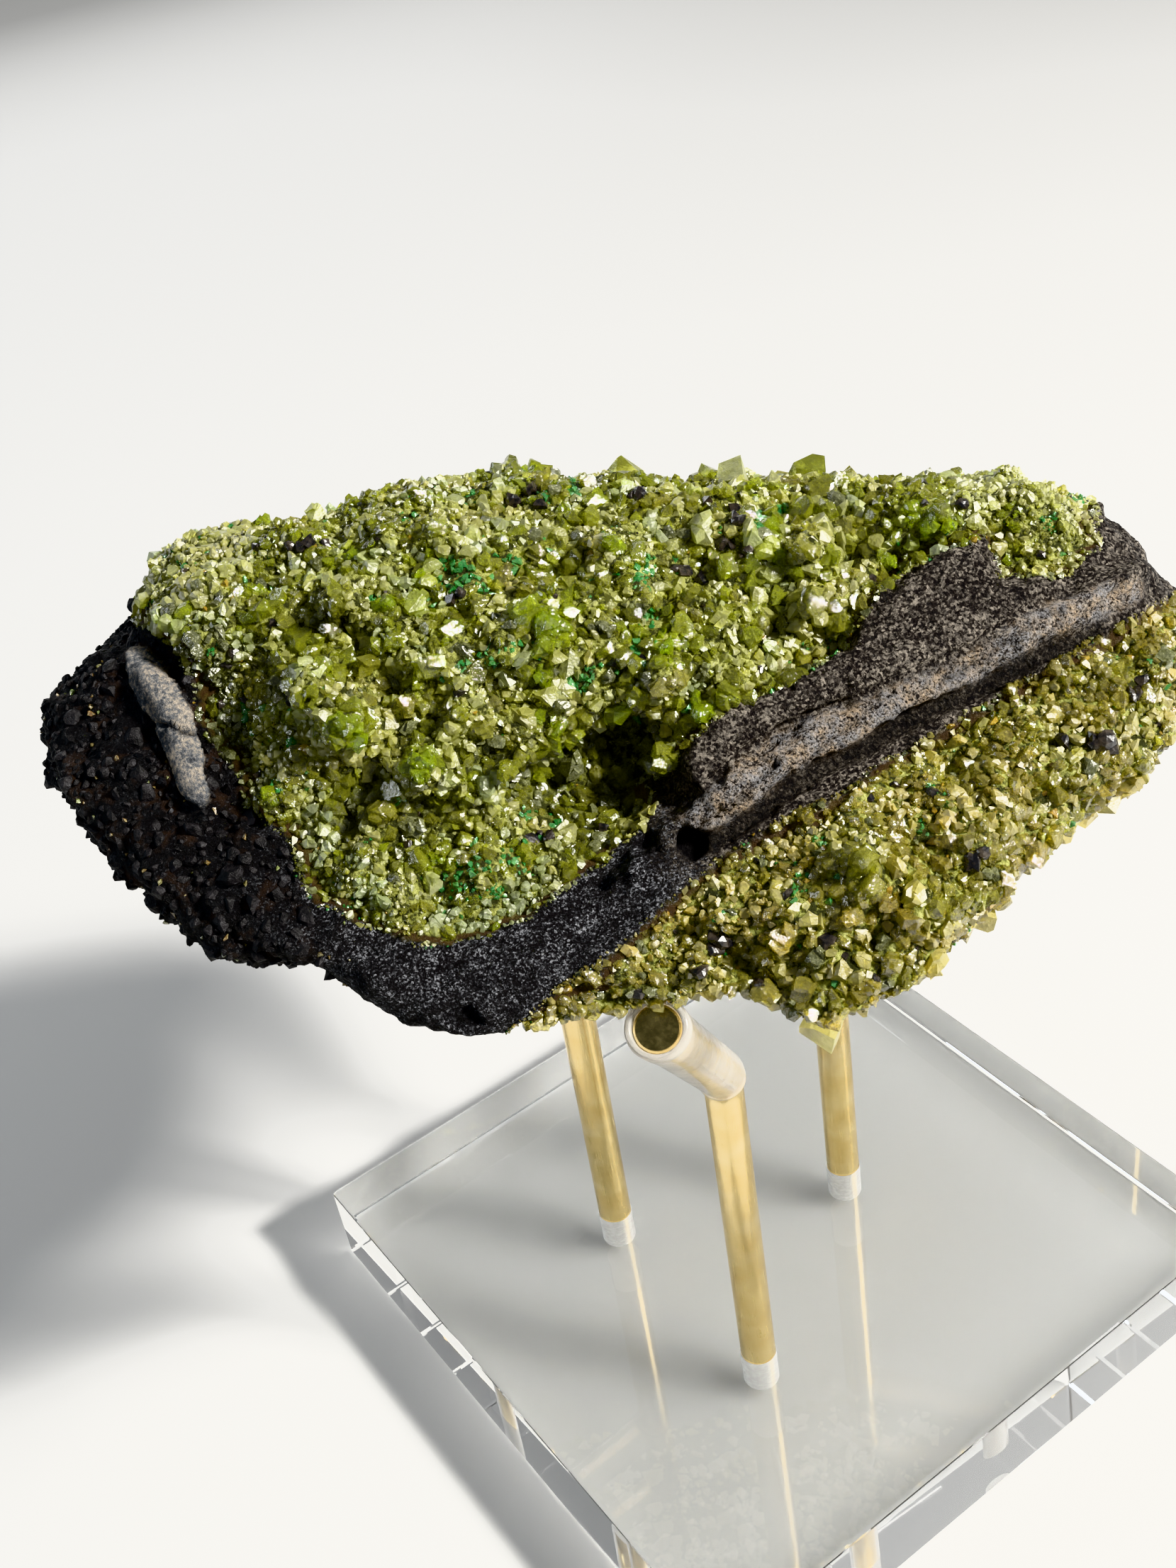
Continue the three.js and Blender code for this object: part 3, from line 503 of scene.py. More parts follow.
# %% Make the rock body a piece
rock_body = placed("rock_body", skin)
skin.shade_smooth()
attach(rock_body, "root")
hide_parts("peridot_stone")
SLAB_SLANT, SLAB_ROW, SLAB_START = 0.45, 1100, (850, 1010)
lit_slab = facing * blend_step(spots[:, 0] - SLAB_SLANT * (spots[:, 1] - SLAB_ROW), *SLAB_START)
store(skin, "ridge", ridge)
# Painted shade: the matrix is darkened in the green hollows, by their depth.
store(skin, "hollow_depth_and_shade", facing * np.clip(hollow_depth_and_shade / 1.3, 0, 1))
store(skin, "green", blend_step(dark_edge, 2, 16))
store(skin, "flake", flake)
# Painted shade: the left end is darkened, fully where it faces the eye and a quarter where it faces away.
store(skin, "left_end", left_end * (0.25 + 0.75 * facing))
store(skin, "lit_slab", lit_slab)
# Painted shade: recesses, cracks, furrows, the flake's crack and the gas bubbles are painted soot black
# where shade falls in them.
painted_crease_shade = 0.75 * recess + 0.7 * crack + 0.5 * furrow + 0.8 * flake_crack + 1.4 * pits
store(skin, "hollow", np.clip(painted_crease_shade, 0, 1))
print("rock body:", sum(len(face.vertices) - 2 for face in skin.polygons), "triangles")

# %% [markdown]
# ## Finish of the rock
# The dark rock needs no transparency: it is soot black with fine grey and tan specks, which are the
# small crystals in it. One noise alone looks regular, so we mix three: fine noise, a chance number
# per crumb, and broad noise that changes how many specks there are. A colour ramp cuts the mix off
# sharply, which gives salt and pepper. The slab is browner and the ridge paler. The flake is palest:
# its own grey and tan, with painted light on its sunlit face. The left end is painted near black as
# shade, and the recesses, cracks, furrows and gas bubbles get painted shade in soot black. A brown
# rim runs along the green rock, and a bump adds the roughness that is too fine for the mesh.


# %% Small helpers for shader nodes
def new_material(name):
    """A material with its node tree and its main shader."""
    material = bpy.data.materials.new(name)
    material.use_nodes = True
    return material, material.node_tree, material.node_tree.nodes["Principled BSDF"]


def feed(tree, socket, value):
    """Puts a number, a colour, a direction or another node's output into a socket."""
    if isinstance(value, tuple):
        socket.default_value = (*value, 1)[:len(socket.default_value)]
    elif isinstance(value, (int, float)):
        socket.default_value = value
    else:
        tree.links.new(value, socket)


def feed_all(tree, made, wires):
    """Feeds several sockets of a node, each by its name or number."""
    for name, value in wires.items():
        feed(tree, made.inputs[name], value)


def node(tree, kind, output, wires, **settings):
    """Adds a node, sets it up, feeds it and gives back one of its outputs."""
    made = tree.nodes.new("ShaderNode" + kind)
    for name, value in settings.items():
        setattr(made, name, value)
    feed_all(tree, made, wires)
    return made.outputs[output]


# %% Colours and amounts from nodes
def ramp(tree, source, stops):
    """A colour ramp from (place, colour) stops."""
    made = tree.nodes.new("ShaderNodeValToRGB")
    band = made.color_ramp
    while len(band.elements) < len(stops):
        band.elements.new(0.5)
    for element, (place, colour) in zip(band.elements, stops):
        element.position = place
        element.color = (*colour, 1)
    tree.links.new(source, made.inputs["Fac"])
    return made.outputs["Color"]


def cutoff(tree, source, low, high):
    """0 below low and 1 above high."""
    return node(tree, "MapRange", "Result", {"Value": source, "From Min": low, "From Max": high})


NOISE_LOW, NOISE_HIGH = 0.3, 0.7


def between(tree, source, low, high):
    """A noise turned into a number between low and high."""
    wires = {"Value": source, "From Min": NOISE_LOW, "From Max": NOISE_HIGH, "To Min": low, "To Max": high}
    return node(tree, "MapRange", "Result", wires)


def times(tree, first, second):
    """One amount times another."""
    return node(tree, "Math", "Value", {0: first, 1: second}, operation="MULTIPLY")


def added(tree, first, second):
    """One amount on top of another."""
    return node(tree, "Math", "Value", {0: first, 1: second})


def over(tree, amount, under, top, way="MIX"):
    """A top colour laid over another by an amount."""
    wires = {"Factor": amount, "A": under, "B": top}
    return node(tree, "Mix", "Result", wires, data_type="RGBA", blend_type=way)


# %% Noise, crumbs and bumps
def carried(tree, name):
    """A number that the mesh carries per corner."""
    return node(tree, "Attribute", "Fac", {}, attribute_name=name)


def noise_at(tree, size_mm, detail=3.0, rough=0.55, stretch=None):
    """Noise fixed to the object, with features of about a size in millimetres."""
    place = node(tree, "TexCoord", "Object", {})
    if stretch:
        place = node(tree, "Mapping", "Vector", {"Vector": place, "Scale": stretch})
    wires = {"Vector": place, "Scale": 1 / (size_mm * MM), "Detail": detail, "Roughness": rough}
    return node(tree, "TexNoise", "Fac", wires)


def crumbs_at(tree, size_mm):
    """Angular crumbs packed side by side, with a chance number for each."""
    place = node(tree, "TexCoord", "Object", {})
    crumb = node(tree, "TexVoronoi", "Color", {"Vector": place, "Scale": 1 / (size_mm * MM)})
    return node(tree, "SeparateColor", "Red", {"Color": crumb})


def bumped(tree, shader, height, depth_mm, strength=1.0):
    """Gives a shader a bump of some depth."""
    wires = {"Strength": strength, "Distance": depth_mm * MM, "Height": height}
    feed(tree, shader.inputs["Normal"], node(tree, "Bump", "Normal", wires))


# %% The rock body's finish
SOOT_BLACK_AND_SHADE = (0.003, 0.003, 0.0035)
CHARCOAL = (0.010, 0.0095, 0.0105)
DULL_GREY = (0.030, 0.031, 0.034)
GREY_SPECK = (0.16, 0.165, 0.178)
SLAB_DARK = (0.004, 0.0035, 0.004)
SLAB_BROWN = (0.014, 0.012, 0.0115)
SLAB_TAN = (0.056, 0.050, 0.044)
TAN_SPECK = (0.175, 0.155, 0.130)
RIDGE_GREY = (0.195, 0.192, 0.196)
OCHRE = (0.28, 0.215, 0.150)
FLAKE_DARK = (0.035, 0.037, 0.041)
FLAKE_GREY = (0.085, 0.090, 0.097)
FLAKE_TAN_AND_LIGHT = (0.27, 0.235, 0.19)
CONTACT_BROWN = (0.030, 0.017, 0.009)
RUST = (0.032, 0.020, 0.014)
# The matrix's darkest tone, which also serves as painted shade in the gaps and hollows.
MATRIX_DARK_AND_SHADE = (0.020, 0.022, 0.009)
MATRIX_OLIVE = (0.20, 0.21, 0.060)
MATRIX_CREAM = (0.44, 0.45, 0.19)

rock_finish, tree, shader = new_material("basalt_and_matrix")


def specks(size_mm, crumb_mm, broad_mm):
    """Fine noise, crumbs and broad noise mixed, for specks that don't look regular."""
    fine_noise = times(tree, noise_at(tree, size_mm, 4, 0.8), 0.55)
    mixed = added(tree, fine_noise, times(tree, crumbs_at(tree, crumb_mm), 0.20))
    return added(tree, mixed, times(tree, noise_at(tree, broad_mm, 3), 0.25))


fine, wide = specks(0.22, 0.11, 1.2), specks(0.36, 0.17, 1.5)
dark = ramp(tree, fine, [(0.44, SOOT_BLACK_AND_SHADE), (0.51, CHARCOAL), (0.57, DULL_GREY), (0.65, GREY_SPECK)])
slab_stops = [(0.41, SLAB_DARK), (0.48, SLAB_BROWN), (0.55, SLAB_TAN), (0.65, TAN_SPECK)]
slab_specked = ramp(tree, wide, slab_stops)
ridge_tone = ramp(tree, noise_at(tree, 1.6, 4, 0.7), [(0.44, RIDGE_GREY), (0.62, OCHRE)])
ridge_share = times(tree, times(tree, carried(tree, "ridge"), cutoff(tree, fine, 0.44, 0.55)), 0.75)
slab_specked = over(tree, ridge_share, slab_specked, ridge_tone)
specked = over(tree, carried(tree, "lit_slab"), dark, slab_specked)
# Painted shade on the left end: near black laid over the specks, with rusty patches that are the rock's
# own colour.
left_shade_and_rust = over(tree, times(tree, cutoff(tree, noise_at(tree, 1.6), 0.52, 0.68), 0.5), SOOT_BLACK_AND_SHADE, RUST)
specked = over(tree, times(tree, carried(tree, "left_end"), 0.85), specked, left_shade_and_rust)
flake_specks = times(tree, noise_at(tree, 0.30, 4, 0.8), 0.65)
flake_specks = added(tree, flake_specks, times(tree, noise_at(tree, 1.6), 0.35))
# The flake's tones: its own grey and tan, with painted light of its sunlit face in the palest stop.
flake_tone_and_light = ramp(tree, flake_specks, [(0.40, FLAKE_DARK), (0.48, FLAKE_GREY), (0.60, FLAKE_TAN_AND_LIGHT)])
specked = over(tree, carried(tree, "flake"), specked, flake_tone_and_light)
# Painted shade in the dark rock's recesses, cracks, furrows and bubbles.
specked = over(tree, carried(tree, "hollow"), specked, SOOT_BLACK_AND_SHADE)
# The matrix shows between the grains; its dark stop is partly its own tone, partly painted shade in those
# gaps.
matrix = ramp(
    tree, noise_at(tree, 0.9, 5, 0.7),
    [(0.45, MATRIX_DARK_AND_SHADE), (0.58, MATRIX_OLIVE), (0.76, MATRIX_CREAM)],
)
# Painted shade in the green hollows, laid over the matrix.
matrix = over(tree, times(tree, carried(tree, "hollow_depth_and_shade"), 0.6), matrix, MATRIX_DARK_AND_SHADE)
NONE, ALL = (0, 0, 0), (1, 1, 1)
rim = ramp(tree, carried(tree, "green"), [(0.02, NONE), (0.20, ALL), (0.75, ALL), (1, NONE)])
rimmed = over(tree, carried(tree, "green"), specked, matrix)
rimmed = over(tree, times(tree, rim, 0.8), rimmed, CONTACT_BROWN)
rough = between(tree, fine, 0.75, 0.35)
feed_all(tree, shader, {"Base Color": rimmed, "Roughness": rough, "Specular IOR Level": 0.12})
bumped(tree, shader, added(tree, fine, wide), 0.60)
skin.materials.clear()
skin.materials.append(rock_finish)
print("rock finish has", len(tree.nodes), "nodes")

# %% [markdown]
# ## Grains of olivine
# Olivine has no flat growth faces here: it breaks into blocky glassy grains. So each grain is a lump
# bounded by about a dozen chance planes, worked out as a convex hull. Half of the middle ones are
# balls pressed against such planes and chipped all over, and the large ones are several lumps grown
# into one another, so that light meets planes inside them. Sixteen of each kind are enough, because
# every copy is turned and stretched by chance.


# %% Helpers for lumps
def hull_net(points):
    """The convex hull of some points, its flat faces joined."""
    net = bmesh.new()
    for point in points:
        net.verts.new(point)
    bmesh.ops.convex_hull(net, input=net.verts)
    bmesh.ops.delete(net, geom=[v for v in net.verts if not v.link_faces], context="VERTS")
    return net


def taken_out(net):
    """The corners and triangles of a bmesh as arrays. It frees the bmesh."""
    corners = np.array([v.co[:] for v in net.verts])
    faces = np.array([[v.index for v in f.verts] for f in net.faces])
    net.free()
    return corners, faces


def spread_ways(count, random, unrest):
    """Directions spread over the ball, each a little off."""
    steps = np.arange(count) + 0.5
    height = 1 - 2 * steps / count
    turn_angle = math.pi * (1 + math.sqrt(5)) * steps
    flat = np.sqrt(1 - height ** 2)
    ways = np.stack([flat * np.cos(turn_angle), flat * np.sin(turn_angle), height], axis=1)
    ways += unrest * random.normal(size=ways.shape)
    return ways / np.linalg.norm(ways, axis=1)[:, None]


# %% Three sorts of lumps
UNREST = 0.30
LONGEST_TIP = 1.3
SHORTEST_EDGE = 0.05
FLAT_ANGLE = 0.03
PRESS = 16
MIDDLE_SIZE = 0.78
SIDE_SIZE, SIDE_REACH = (0.42, 0.60), (0.38, 0.55)


def broken_grain(planes, random):
    """Corners and triangles of a lump bounded by chance planes, about 1 in radius."""
    ways = spread_ways(planes, random, UNREST)
    reach = random.uniform(0.62, 1.0, planes)
    dual = hull_net(ways / reach[:, None])
    tips = [np.linalg.solve([v.co[:] for v in face.verts], np.ones(3)) for face in dual.faces]
    dual.free()
    net = hull_net(tips)
    bmesh.ops.remove_doubles(net, verts=net.verts, dist=SHORTEST_EDGE)
    bmesh.ops.dissolve_limit(net, angle_limit=FLAT_ANGLE, verts=net.verts, edges=net.edges)
    bmesh.ops.triangulate(net, faces=net.faces)
    bmesh.ops.recalc_face_normals(net, faces=net.faces)
    net.verts.index_update()
    corners, faces = taken_out(net)
    reach = np.linalg.norm(corners, axis=1)[:, None]
    return corners / np.median(reach) * np.minimum(1, LONGEST_TIP * np.median(reach) / reach), faces


def chipped_grain(level, planes, chip, random):
    """A ball pressed against chance planes and chipped all over, so it sparkles in many facets."""
    net = bmesh.new()
    bmesh.ops.create_icosphere(net, subdivisions=level, radius=1)
    corners, faces = taken_out(net)
    ways = spread_ways(planes, random, UNREST)
    reach = random.uniform(0.66, 1.0, planes)
    press = np.maximum(corners @ ways.T, 0) / reach
    radius = np.sum(press ** PRESS, axis=1) ** (-1 / PRESS)
    radius *= 1 + chip * random.normal(size=len(radius))
    return corners * (radius / np.median(radius))[:, None], faces


def grown_together(count, planes, random):
    """Several broken lumps grown into one another, so that a large grain shows planes inside it."""
    corners, faces = broken_grain(planes, random)
    all_corners, all_faces, start = [MIDDLE_SIZE * corners], [faces], len(corners)
    for way in spread_ways(count, random, 0.35):
        corners, faces = broken_grain(planes - 2, random)
        all_corners.append(corners * random.uniform(*SIDE_SIZE) + way * random.uniform(*SIDE_REACH))
        all_faces.append(faces + start)
        start += len(corners)
    return np.concatenate(all_corners), np.concatenate(all_faces)


# %% A library of grains
grain_chance = np.random.default_rng(20)
SHAPES_EACH = 16
GRAIN_KINDS = {
    "large": [grown_together(3, 11, grain_chance) for _ in range(SHAPES_EACH)],
    "giant": [grown_together(7, 12, grain_chance) for _ in range(SHAPES_EACH)],
    "middle": [
        chipped_grain(2, 10, 0.045, grain_chance) if odd else broken_grain(12, grain_chance)
        for odd in (0, 1) * (SHAPES_EACH // 2)
    ],
    "lesser": [broken_grain(9, grain_chance) for _ in range(SHAPES_EACH)],
    "small": [broken_grain(7, grain_chance) for _ in range(SHAPES_EACH)],
    "behind": [broken_grain(9, grain_chance) for _ in range(SHAPES_EACH)],
}
for kind, shapes in GRAIN_KINDS.items():
    counts = [len(faces) for _, faces in shapes]
    print(kind, "grains have", min(counts), "to", max(counts), "triangles")


# %% Keep grains from crowding
class Crowd:
    """Places already taken, kept in a grid of boxes so that a look round is quick."""

    def __init__(self, box):
        self.box, self.taken = box, {}

    def key(self, p):
        """The grid box that holds a point."""
        return int(p[0] // self.box), int(p[1] // self.box), int(p[2] // self.box)

    def room(self, p, radius, closeness):
        """Whether a grain has room at a point."""
        a, b, c = self.key(p)
        for i in (a - 1, a, a + 1):
            for j in (b - 1, b, b + 1):
                for k in (c - 1, c, c + 1):
                    for x, y, z, other in self.taken.get((i, j, k), ()):
                        gap = (p[0] - x) ** 2 + (p[1] - y) ** 2 + (p[2] - z) ** 2
                        if gap < (closeness * (radius + other)) ** 2:
                            return False
        return True

    def add(self, p, radius):
        """Takes the place round a point."""
        self.taken.setdefault(self.key(p), []).append((*p, radius))


# %% [markdown]
# ## Where the grains sit
# We scatter many possible places over the green rock and take them in chance order, big grains first
# and smaller ones in the gaps, each only where there is room. Smooth noise decides where the grains
# are coarse, glassy, powdery or stained with honey brown, as such things come in patches on the real
# stone. What catches the eye in the photograph (black, emerald, lime, pale and very large grains)
# is written down spot by spot in its pixels.

# %% Scatter possible places over the skin
PLACES_PER_SQUARE = 3
PAST_CONTACT = 26
SHOWN_LIMIT = -0.1
scatter = np.random.default_rng(5)
squares = np.array([face.vertices[:] for face in skin.polygons if len(face.vertices) == 4])
squares = squares[green_depth(skin_corners)[squares[:, 0]] > -PAST_CONTACT]
squares = np.repeat(squares, PLACES_PER_SQUARE, axis=0)
u, v = scatter.random((2, len(squares), 1))
shares = [(1 - u) * (1 - v), u * (1 - v), u * v, (1 - u) * v]
seats = sum(share * skin_corners[squares[:, k]] for k, share in enumerate(shares))
seat_ways = sum(share * skin_normals[squares[:, k]] for k, share in enumerate(shares))
seat_ways /= np.linalg.norm(seat_ways, axis=1)[:, None]
seat_spots = pixels_of(seats)
seat_shown = seat_ways @ -ahead > SHOWN_LIMIT
print(len(seats), "possible places")

# %% How coarse the grains are
CONTACT = -3
green_now = green_depth(seats)
on_lower = depth_inside(seat_spots, LOWER_GREEN) > depth_inside(seat_spots, UPPER_GREEN)
# Each row: a line of pixels, its reach in pixels, and how much finer the grains are along it.
FINE_ZONES = [
    ([(290, 930), (350, 1010), (400, 1150)], 60, 0.45),
    ([(430, 1240), (600, 1310), (760, 1260)], 60, 0.45),
    ([(230, 800), (420, 760), (640, 700)], 60, 0.30),
    ([(800, 1420), (960, 1290), (1080, 1200), (1300, 1080)], 60, 0.40),
    ([(1420, 960), (1600, 900), (1620, 1010)], 110, 0.30), ([(1400, 690), (1540, 760)], 60, 0.40),
]
coarse = np.where(on_lower, 0.94, 1.0) * (1 + 0.25 * waves(seats, 6 * MM, 15))
for line, reach, share in FINE_ZONES:
    coarse *= 1 - share * (1 - blend_step(distance_to_line(seat_spots, line), 0.3 * reach, 1.6 * reach))
places = np.flatnonzero(green_now > CONTACT)
print("places for grains:", len(places), "on show:", int(seat_shown[places].sum()))


# %% Grains that are named one by one
# Each row: a pixel and a radius in pixels.
BLACK_GRAINS = [
    (742, 690, 22), (730, 700, 14), (752, 704, 15), (458, 758, 11), (440, 762, 12), (422, 764, 12),
    (404, 768, 10), (630, 839, 11), (643, 837, 9), (648, 971, 9), (752, 1174, 13), (775, 1172, 9),
    (906, 692, 14), (893, 690, 9), (1006, 687, 17), (994, 699, 13), (1041, 715, 16), (1030, 723, 11),
    (1049, 727, 9), (967, 805, 13), (986, 809, 11), (959, 797, 8), (1010, 774, 11), (1037, 782, 13),
    (1049, 778, 9), (1026, 766, 8), (1309, 1112, 10), (1376, 1222, 14), (1385, 1210, 8),
    (1159, 1325, 14), (1549, 1049, 19), (1535, 1040, 12), (1612, 955, 13), (1606, 984, 10),
    (1491, 1042, 10), (1022, 1333, 17), (1012, 1345, 11), (1240, 1390, 10), (980, 1372, 12),
    (1460, 780, 8), (1100, 1260, 8), (870, 930, 8), (576, 1186, 8), (850, 1160, 12), (1352, 712, 8),
    (1070, 1385, 12), (900, 1395, 10),
]
LIME_SPOTS = [
    (784, 866, 42), (770, 1020, 24), (603, 1075, 26), (521, 830, 22), (766, 957, 22), (585, 975, 18),
    (616, 1224, 22), (994, 1003, 22), (1431, 729, 22), (1441, 779, 22), (950, 888, 26), (1024, 908, 18),
    (1302, 739, 24), (1230, 1420, 26), (1090, 1420, 20), (640, 900, 20), (470, 1030, 24),
    (700, 830, 18),
]
PALE_SPOTS = [
    (625, 740, 34), (521, 1055, 26), (363, 1070, 26), (431, 1138, 26), (1148, 769, 40), (1138, 858, 34),
    (1029, 960, 34), (240, 800, 60), (1560, 700, 60), (1480, 730, 60), (1420, 700, 40), (310, 770, 50),
    (1380, 700, 40), (1530, 780, 50),
]
EMERALD_SPOTS = [
    (665, 700, 12), (811, 683, 12), (768, 704, 9), (571, 730, 8), (640, 808, 20), (682, 820, 15),
    (725, 795, 12), (708, 781, 9), (914, 795, 16), (905, 816, 14), (948, 799, 9), (923, 872, 13),
    (528, 846, 7), (605, 850, 7), (674, 880, 7), (661, 940, 12), (691, 927, 14), (721, 915, 12),
    (751, 919, 9), (820, 962, 13), (837, 945, 11), (863, 940, 10), (897, 914, 11), (905, 932, 9),
    (300, 919, 9), (390, 1108, 9), (562, 1129, 7), (742, 1147, 11), (781, 1155, 10), (631, 1241, 14),
    (657, 1232, 13), (682, 1224, 12), (717, 1211, 12), (742, 1224, 12), (700, 1258, 13),
    (665, 1254, 13), (635, 1258, 9), (734, 1190, 7), (519, 1190, 6), (494, 1274, 8), (1071, 735, 11),
    (1019, 745, 9), (1100, 718, 9), (1128, 1261, 12), (1302, 1167, 9), (1317, 1110, 9), (1158, 1186, 8),
    (905, 1010, 8), (975, 1000, 9), (1520, 690, 16), (1265, 770, 9), (1010, 1330, 9), (1180, 930, 8),
    (1360, 1160, 7), (905, 810, 10), (1480, 740, 12), (1130, 1240, 9), (870, 1330, 8),
]
EMERALD_SPREAD = 1.30
EMERALD_SPOTS = [(x, y, EMERALD_SPREAD * radius) for x, y, radius in EMERALD_SPOTS]
print(len(BLACK_GRAINS), "black grains,", len(EMERALD_SPOTS), "emerald patches")

# %% Big grains, mint patches and patches of painted shade
# Each row as above, and for the big grains a tint from 0 to 1 too.
BIG_GRAINS = [
    (742, 862, 26, 0.92), (778, 885, 24, 0.95), (757, 912, 20, 0.80), (490, 1018, 22, 0.80),
    (510, 1045, 20, 0.92), (476, 1052, 18, 0.70), (596, 1068, 20, 0.95), (584, 1090, 16, 0.85),
    (470, 862, 18, 0.58), (474, 893, 18, 0.55), (818, 1118, 24, 0.55), (800, 1150, 18, 0.55),
    (842, 1098, 18, 0.15), (688, 1032, 18, 0.20), (707, 1083, 18, 0.30), (930, 975, 26, 0.10),
    (905, 990, 20, 0.30), (960, 950, 22, 0.15), (938, 1078, 24, 0.25), (655, 1010, 20, 0.35),
    (1148, 850, 26, 0.10), (1175, 880, 22, 0.40), (1140, 770, 26, 0.20), (1172, 792, 20, 0.40),
    (1019, 985, 24, 0.30), (985, 1000, 20, 0.85), (1040, 960, 22, 0.20), (962, 878, 22, 0.80),
    (620, 740, 24, 0.25), (560, 905, 20, 0.70), (600, 880, 20, 0.25), (860, 760, 20, 0.85),
    (890, 940, 20, 0.30), (540, 845, 20, 0.85), (410, 1135, 18, 0.15), (1304, 742, 22, 0.85),
    (1085, 1395, 22, 0.30), (1230, 1400, 22, 0.35),
]
MINT_SPOTS = [
    (520, 1240, 40), (600, 1290, 50), (690, 1290, 46), (760, 1250, 40), (450, 1180, 40),
    (800, 1130, 40), (850, 1100, 36), (375, 1080, 36), (900, 1000, 36), (700, 1090, 30),
    (940, 1090, 30),
]
# Painted shade: spots where the green rock lies in shade get dark and black grains.
PAINTED_SHADE_SPOTS = [
    (290, 930, 44), (305, 990, 40), (325, 1050, 34), (345, 1110, 26), (460, 880, 24), (395, 975, 16),
]
print(len(BIG_GRAINS), "big grains,", len(MINT_SPOTS) + len(PAINTED_SHADE_SPOTS), "dull patches")

# %% Find what a pixel shows
SEARCH_PIXELS = 10


def front_place(x, y):
    """The place that the photograph shows at a pixel."""
    gap = np.hypot(seat_spots[:, 0] - x, seat_spots[:, 1] - y)
    near = np.flatnonzero((gap < SEARCH_PIXELS) & seat_shown)
    return near[np.argmin((seats[near] - EYE) @ ahead)] if len(near) else None


def inside_any(x, y, marks):
    """Whether a pixel lies in one of some round spots."""
    return any((x - a) ** 2 + (y - b) ** 2 < r * r for a, b, r in marks)


print("search within", SEARCH_PIXELS, "pixels")

# %% Patches of coarse, glassy, powdery and stained grains
tone = waves(seats, 4 * MM, 21) + 0.5 * waves(seats, 1.8 * MM, 23)
glass_patch = waves(seats, 2.8 * MM, 24)
patch = waves(seats, 3.4 * MM, 22)
streak = blend_step(1 - 9 * np.abs(waves(seats, 2.6 * MM, 41)), 0.2, 1) * (waves(seats, 7 * MM, 42) > 0.18)
# Painted shade: the depth of the hollows at each place, which darkens the grains there.
shade = np.clip(dents(seat_spots, HOLLOWS), 0, 2) * seat_shown
powder = blend_step(waves(seats, 3.0 * MM, 31) + 0.4 * waves(seats, 1.2 * MM, 32), 0.10, 0.50)
powder *= np.where(on_lower, 0.5, 1.0)
honey = np.clip(np.where(on_lower, 0.82, 0.05) + 0.60 * waves(seats, 3 * MM, 33), 0, 1)
coarse *= 1 - 0.42 * powder
print("powdery places:", int((powder > 0.5).sum()), "streaked places:", int((streak > 0).sum()))

# %% Set down the black grains
PIXELS_PER_MM = 20.8
GRID_BOX = 3.0 * MM
EMERALD, BLACK, AMBER, DARK_AND_SHADE, CLEAR, CLOUDY = "emerald", "black", "amber", "dark_and_shade", "clear", "cloudy"
crowd = Crowd(GRID_BOX)
grains = []
chance = np.random.default_rng(7)


def set_down(x, y, pixels, elbow, shape, kind, tint, warm):
    """Puts a named grain where the photograph shows it, and keeps others an elbow's share away."""
    place = front_place(x, y)
    if place is not None:
        radius = pixels / PIXELS_PER_MM * MM
        crowd.add(seats[place], elbow * radius)
        stain = honey[place] if warm else 0
        grains.append((seats[place], seat_ways[place], radius, shape, kind, tint, stain))


for x, y, pixels in BLACK_GRAINS:
    set_down(x, y, pixels, 1.0, "middle", BLACK, 0.5, False)
print("black grains set down:", len(grains))

# %% What kind a grain is
SPOT_SHARE, MINT_SHARE = 0.85, 0.8
SMALL_GRAIN, STREAK_GRAIN, FAIR_GRAIN = 0.50 * MM, 0.34 * MM, 0.45 * MM
EMERALD_LUCK, STREAK_LUCK = 0.004, 0.5
BLACK_LUCK, BLACK_IN_SHADE_SPOTS = 0.991, 0.08
AMBER_ABOVE, AMBER_BELOW = 0.006, 0.030
DUSKY_LUCK, SHADE_AT_CONTACT, CONTACT_PIXELS = 0.03, 0.18, 8
SHADED_FROM, SHADED_SPREAD, DUSKY_IN_SHADE = 0.5, 0.6, 0.4
POWDERY_FROM, CLOUDY_IN_POWDER = 0.5, 0.75
CLEAR_FAIR, CLEAR_SMALL, PATCH_PULL = 0.68, 0.48, 1.3


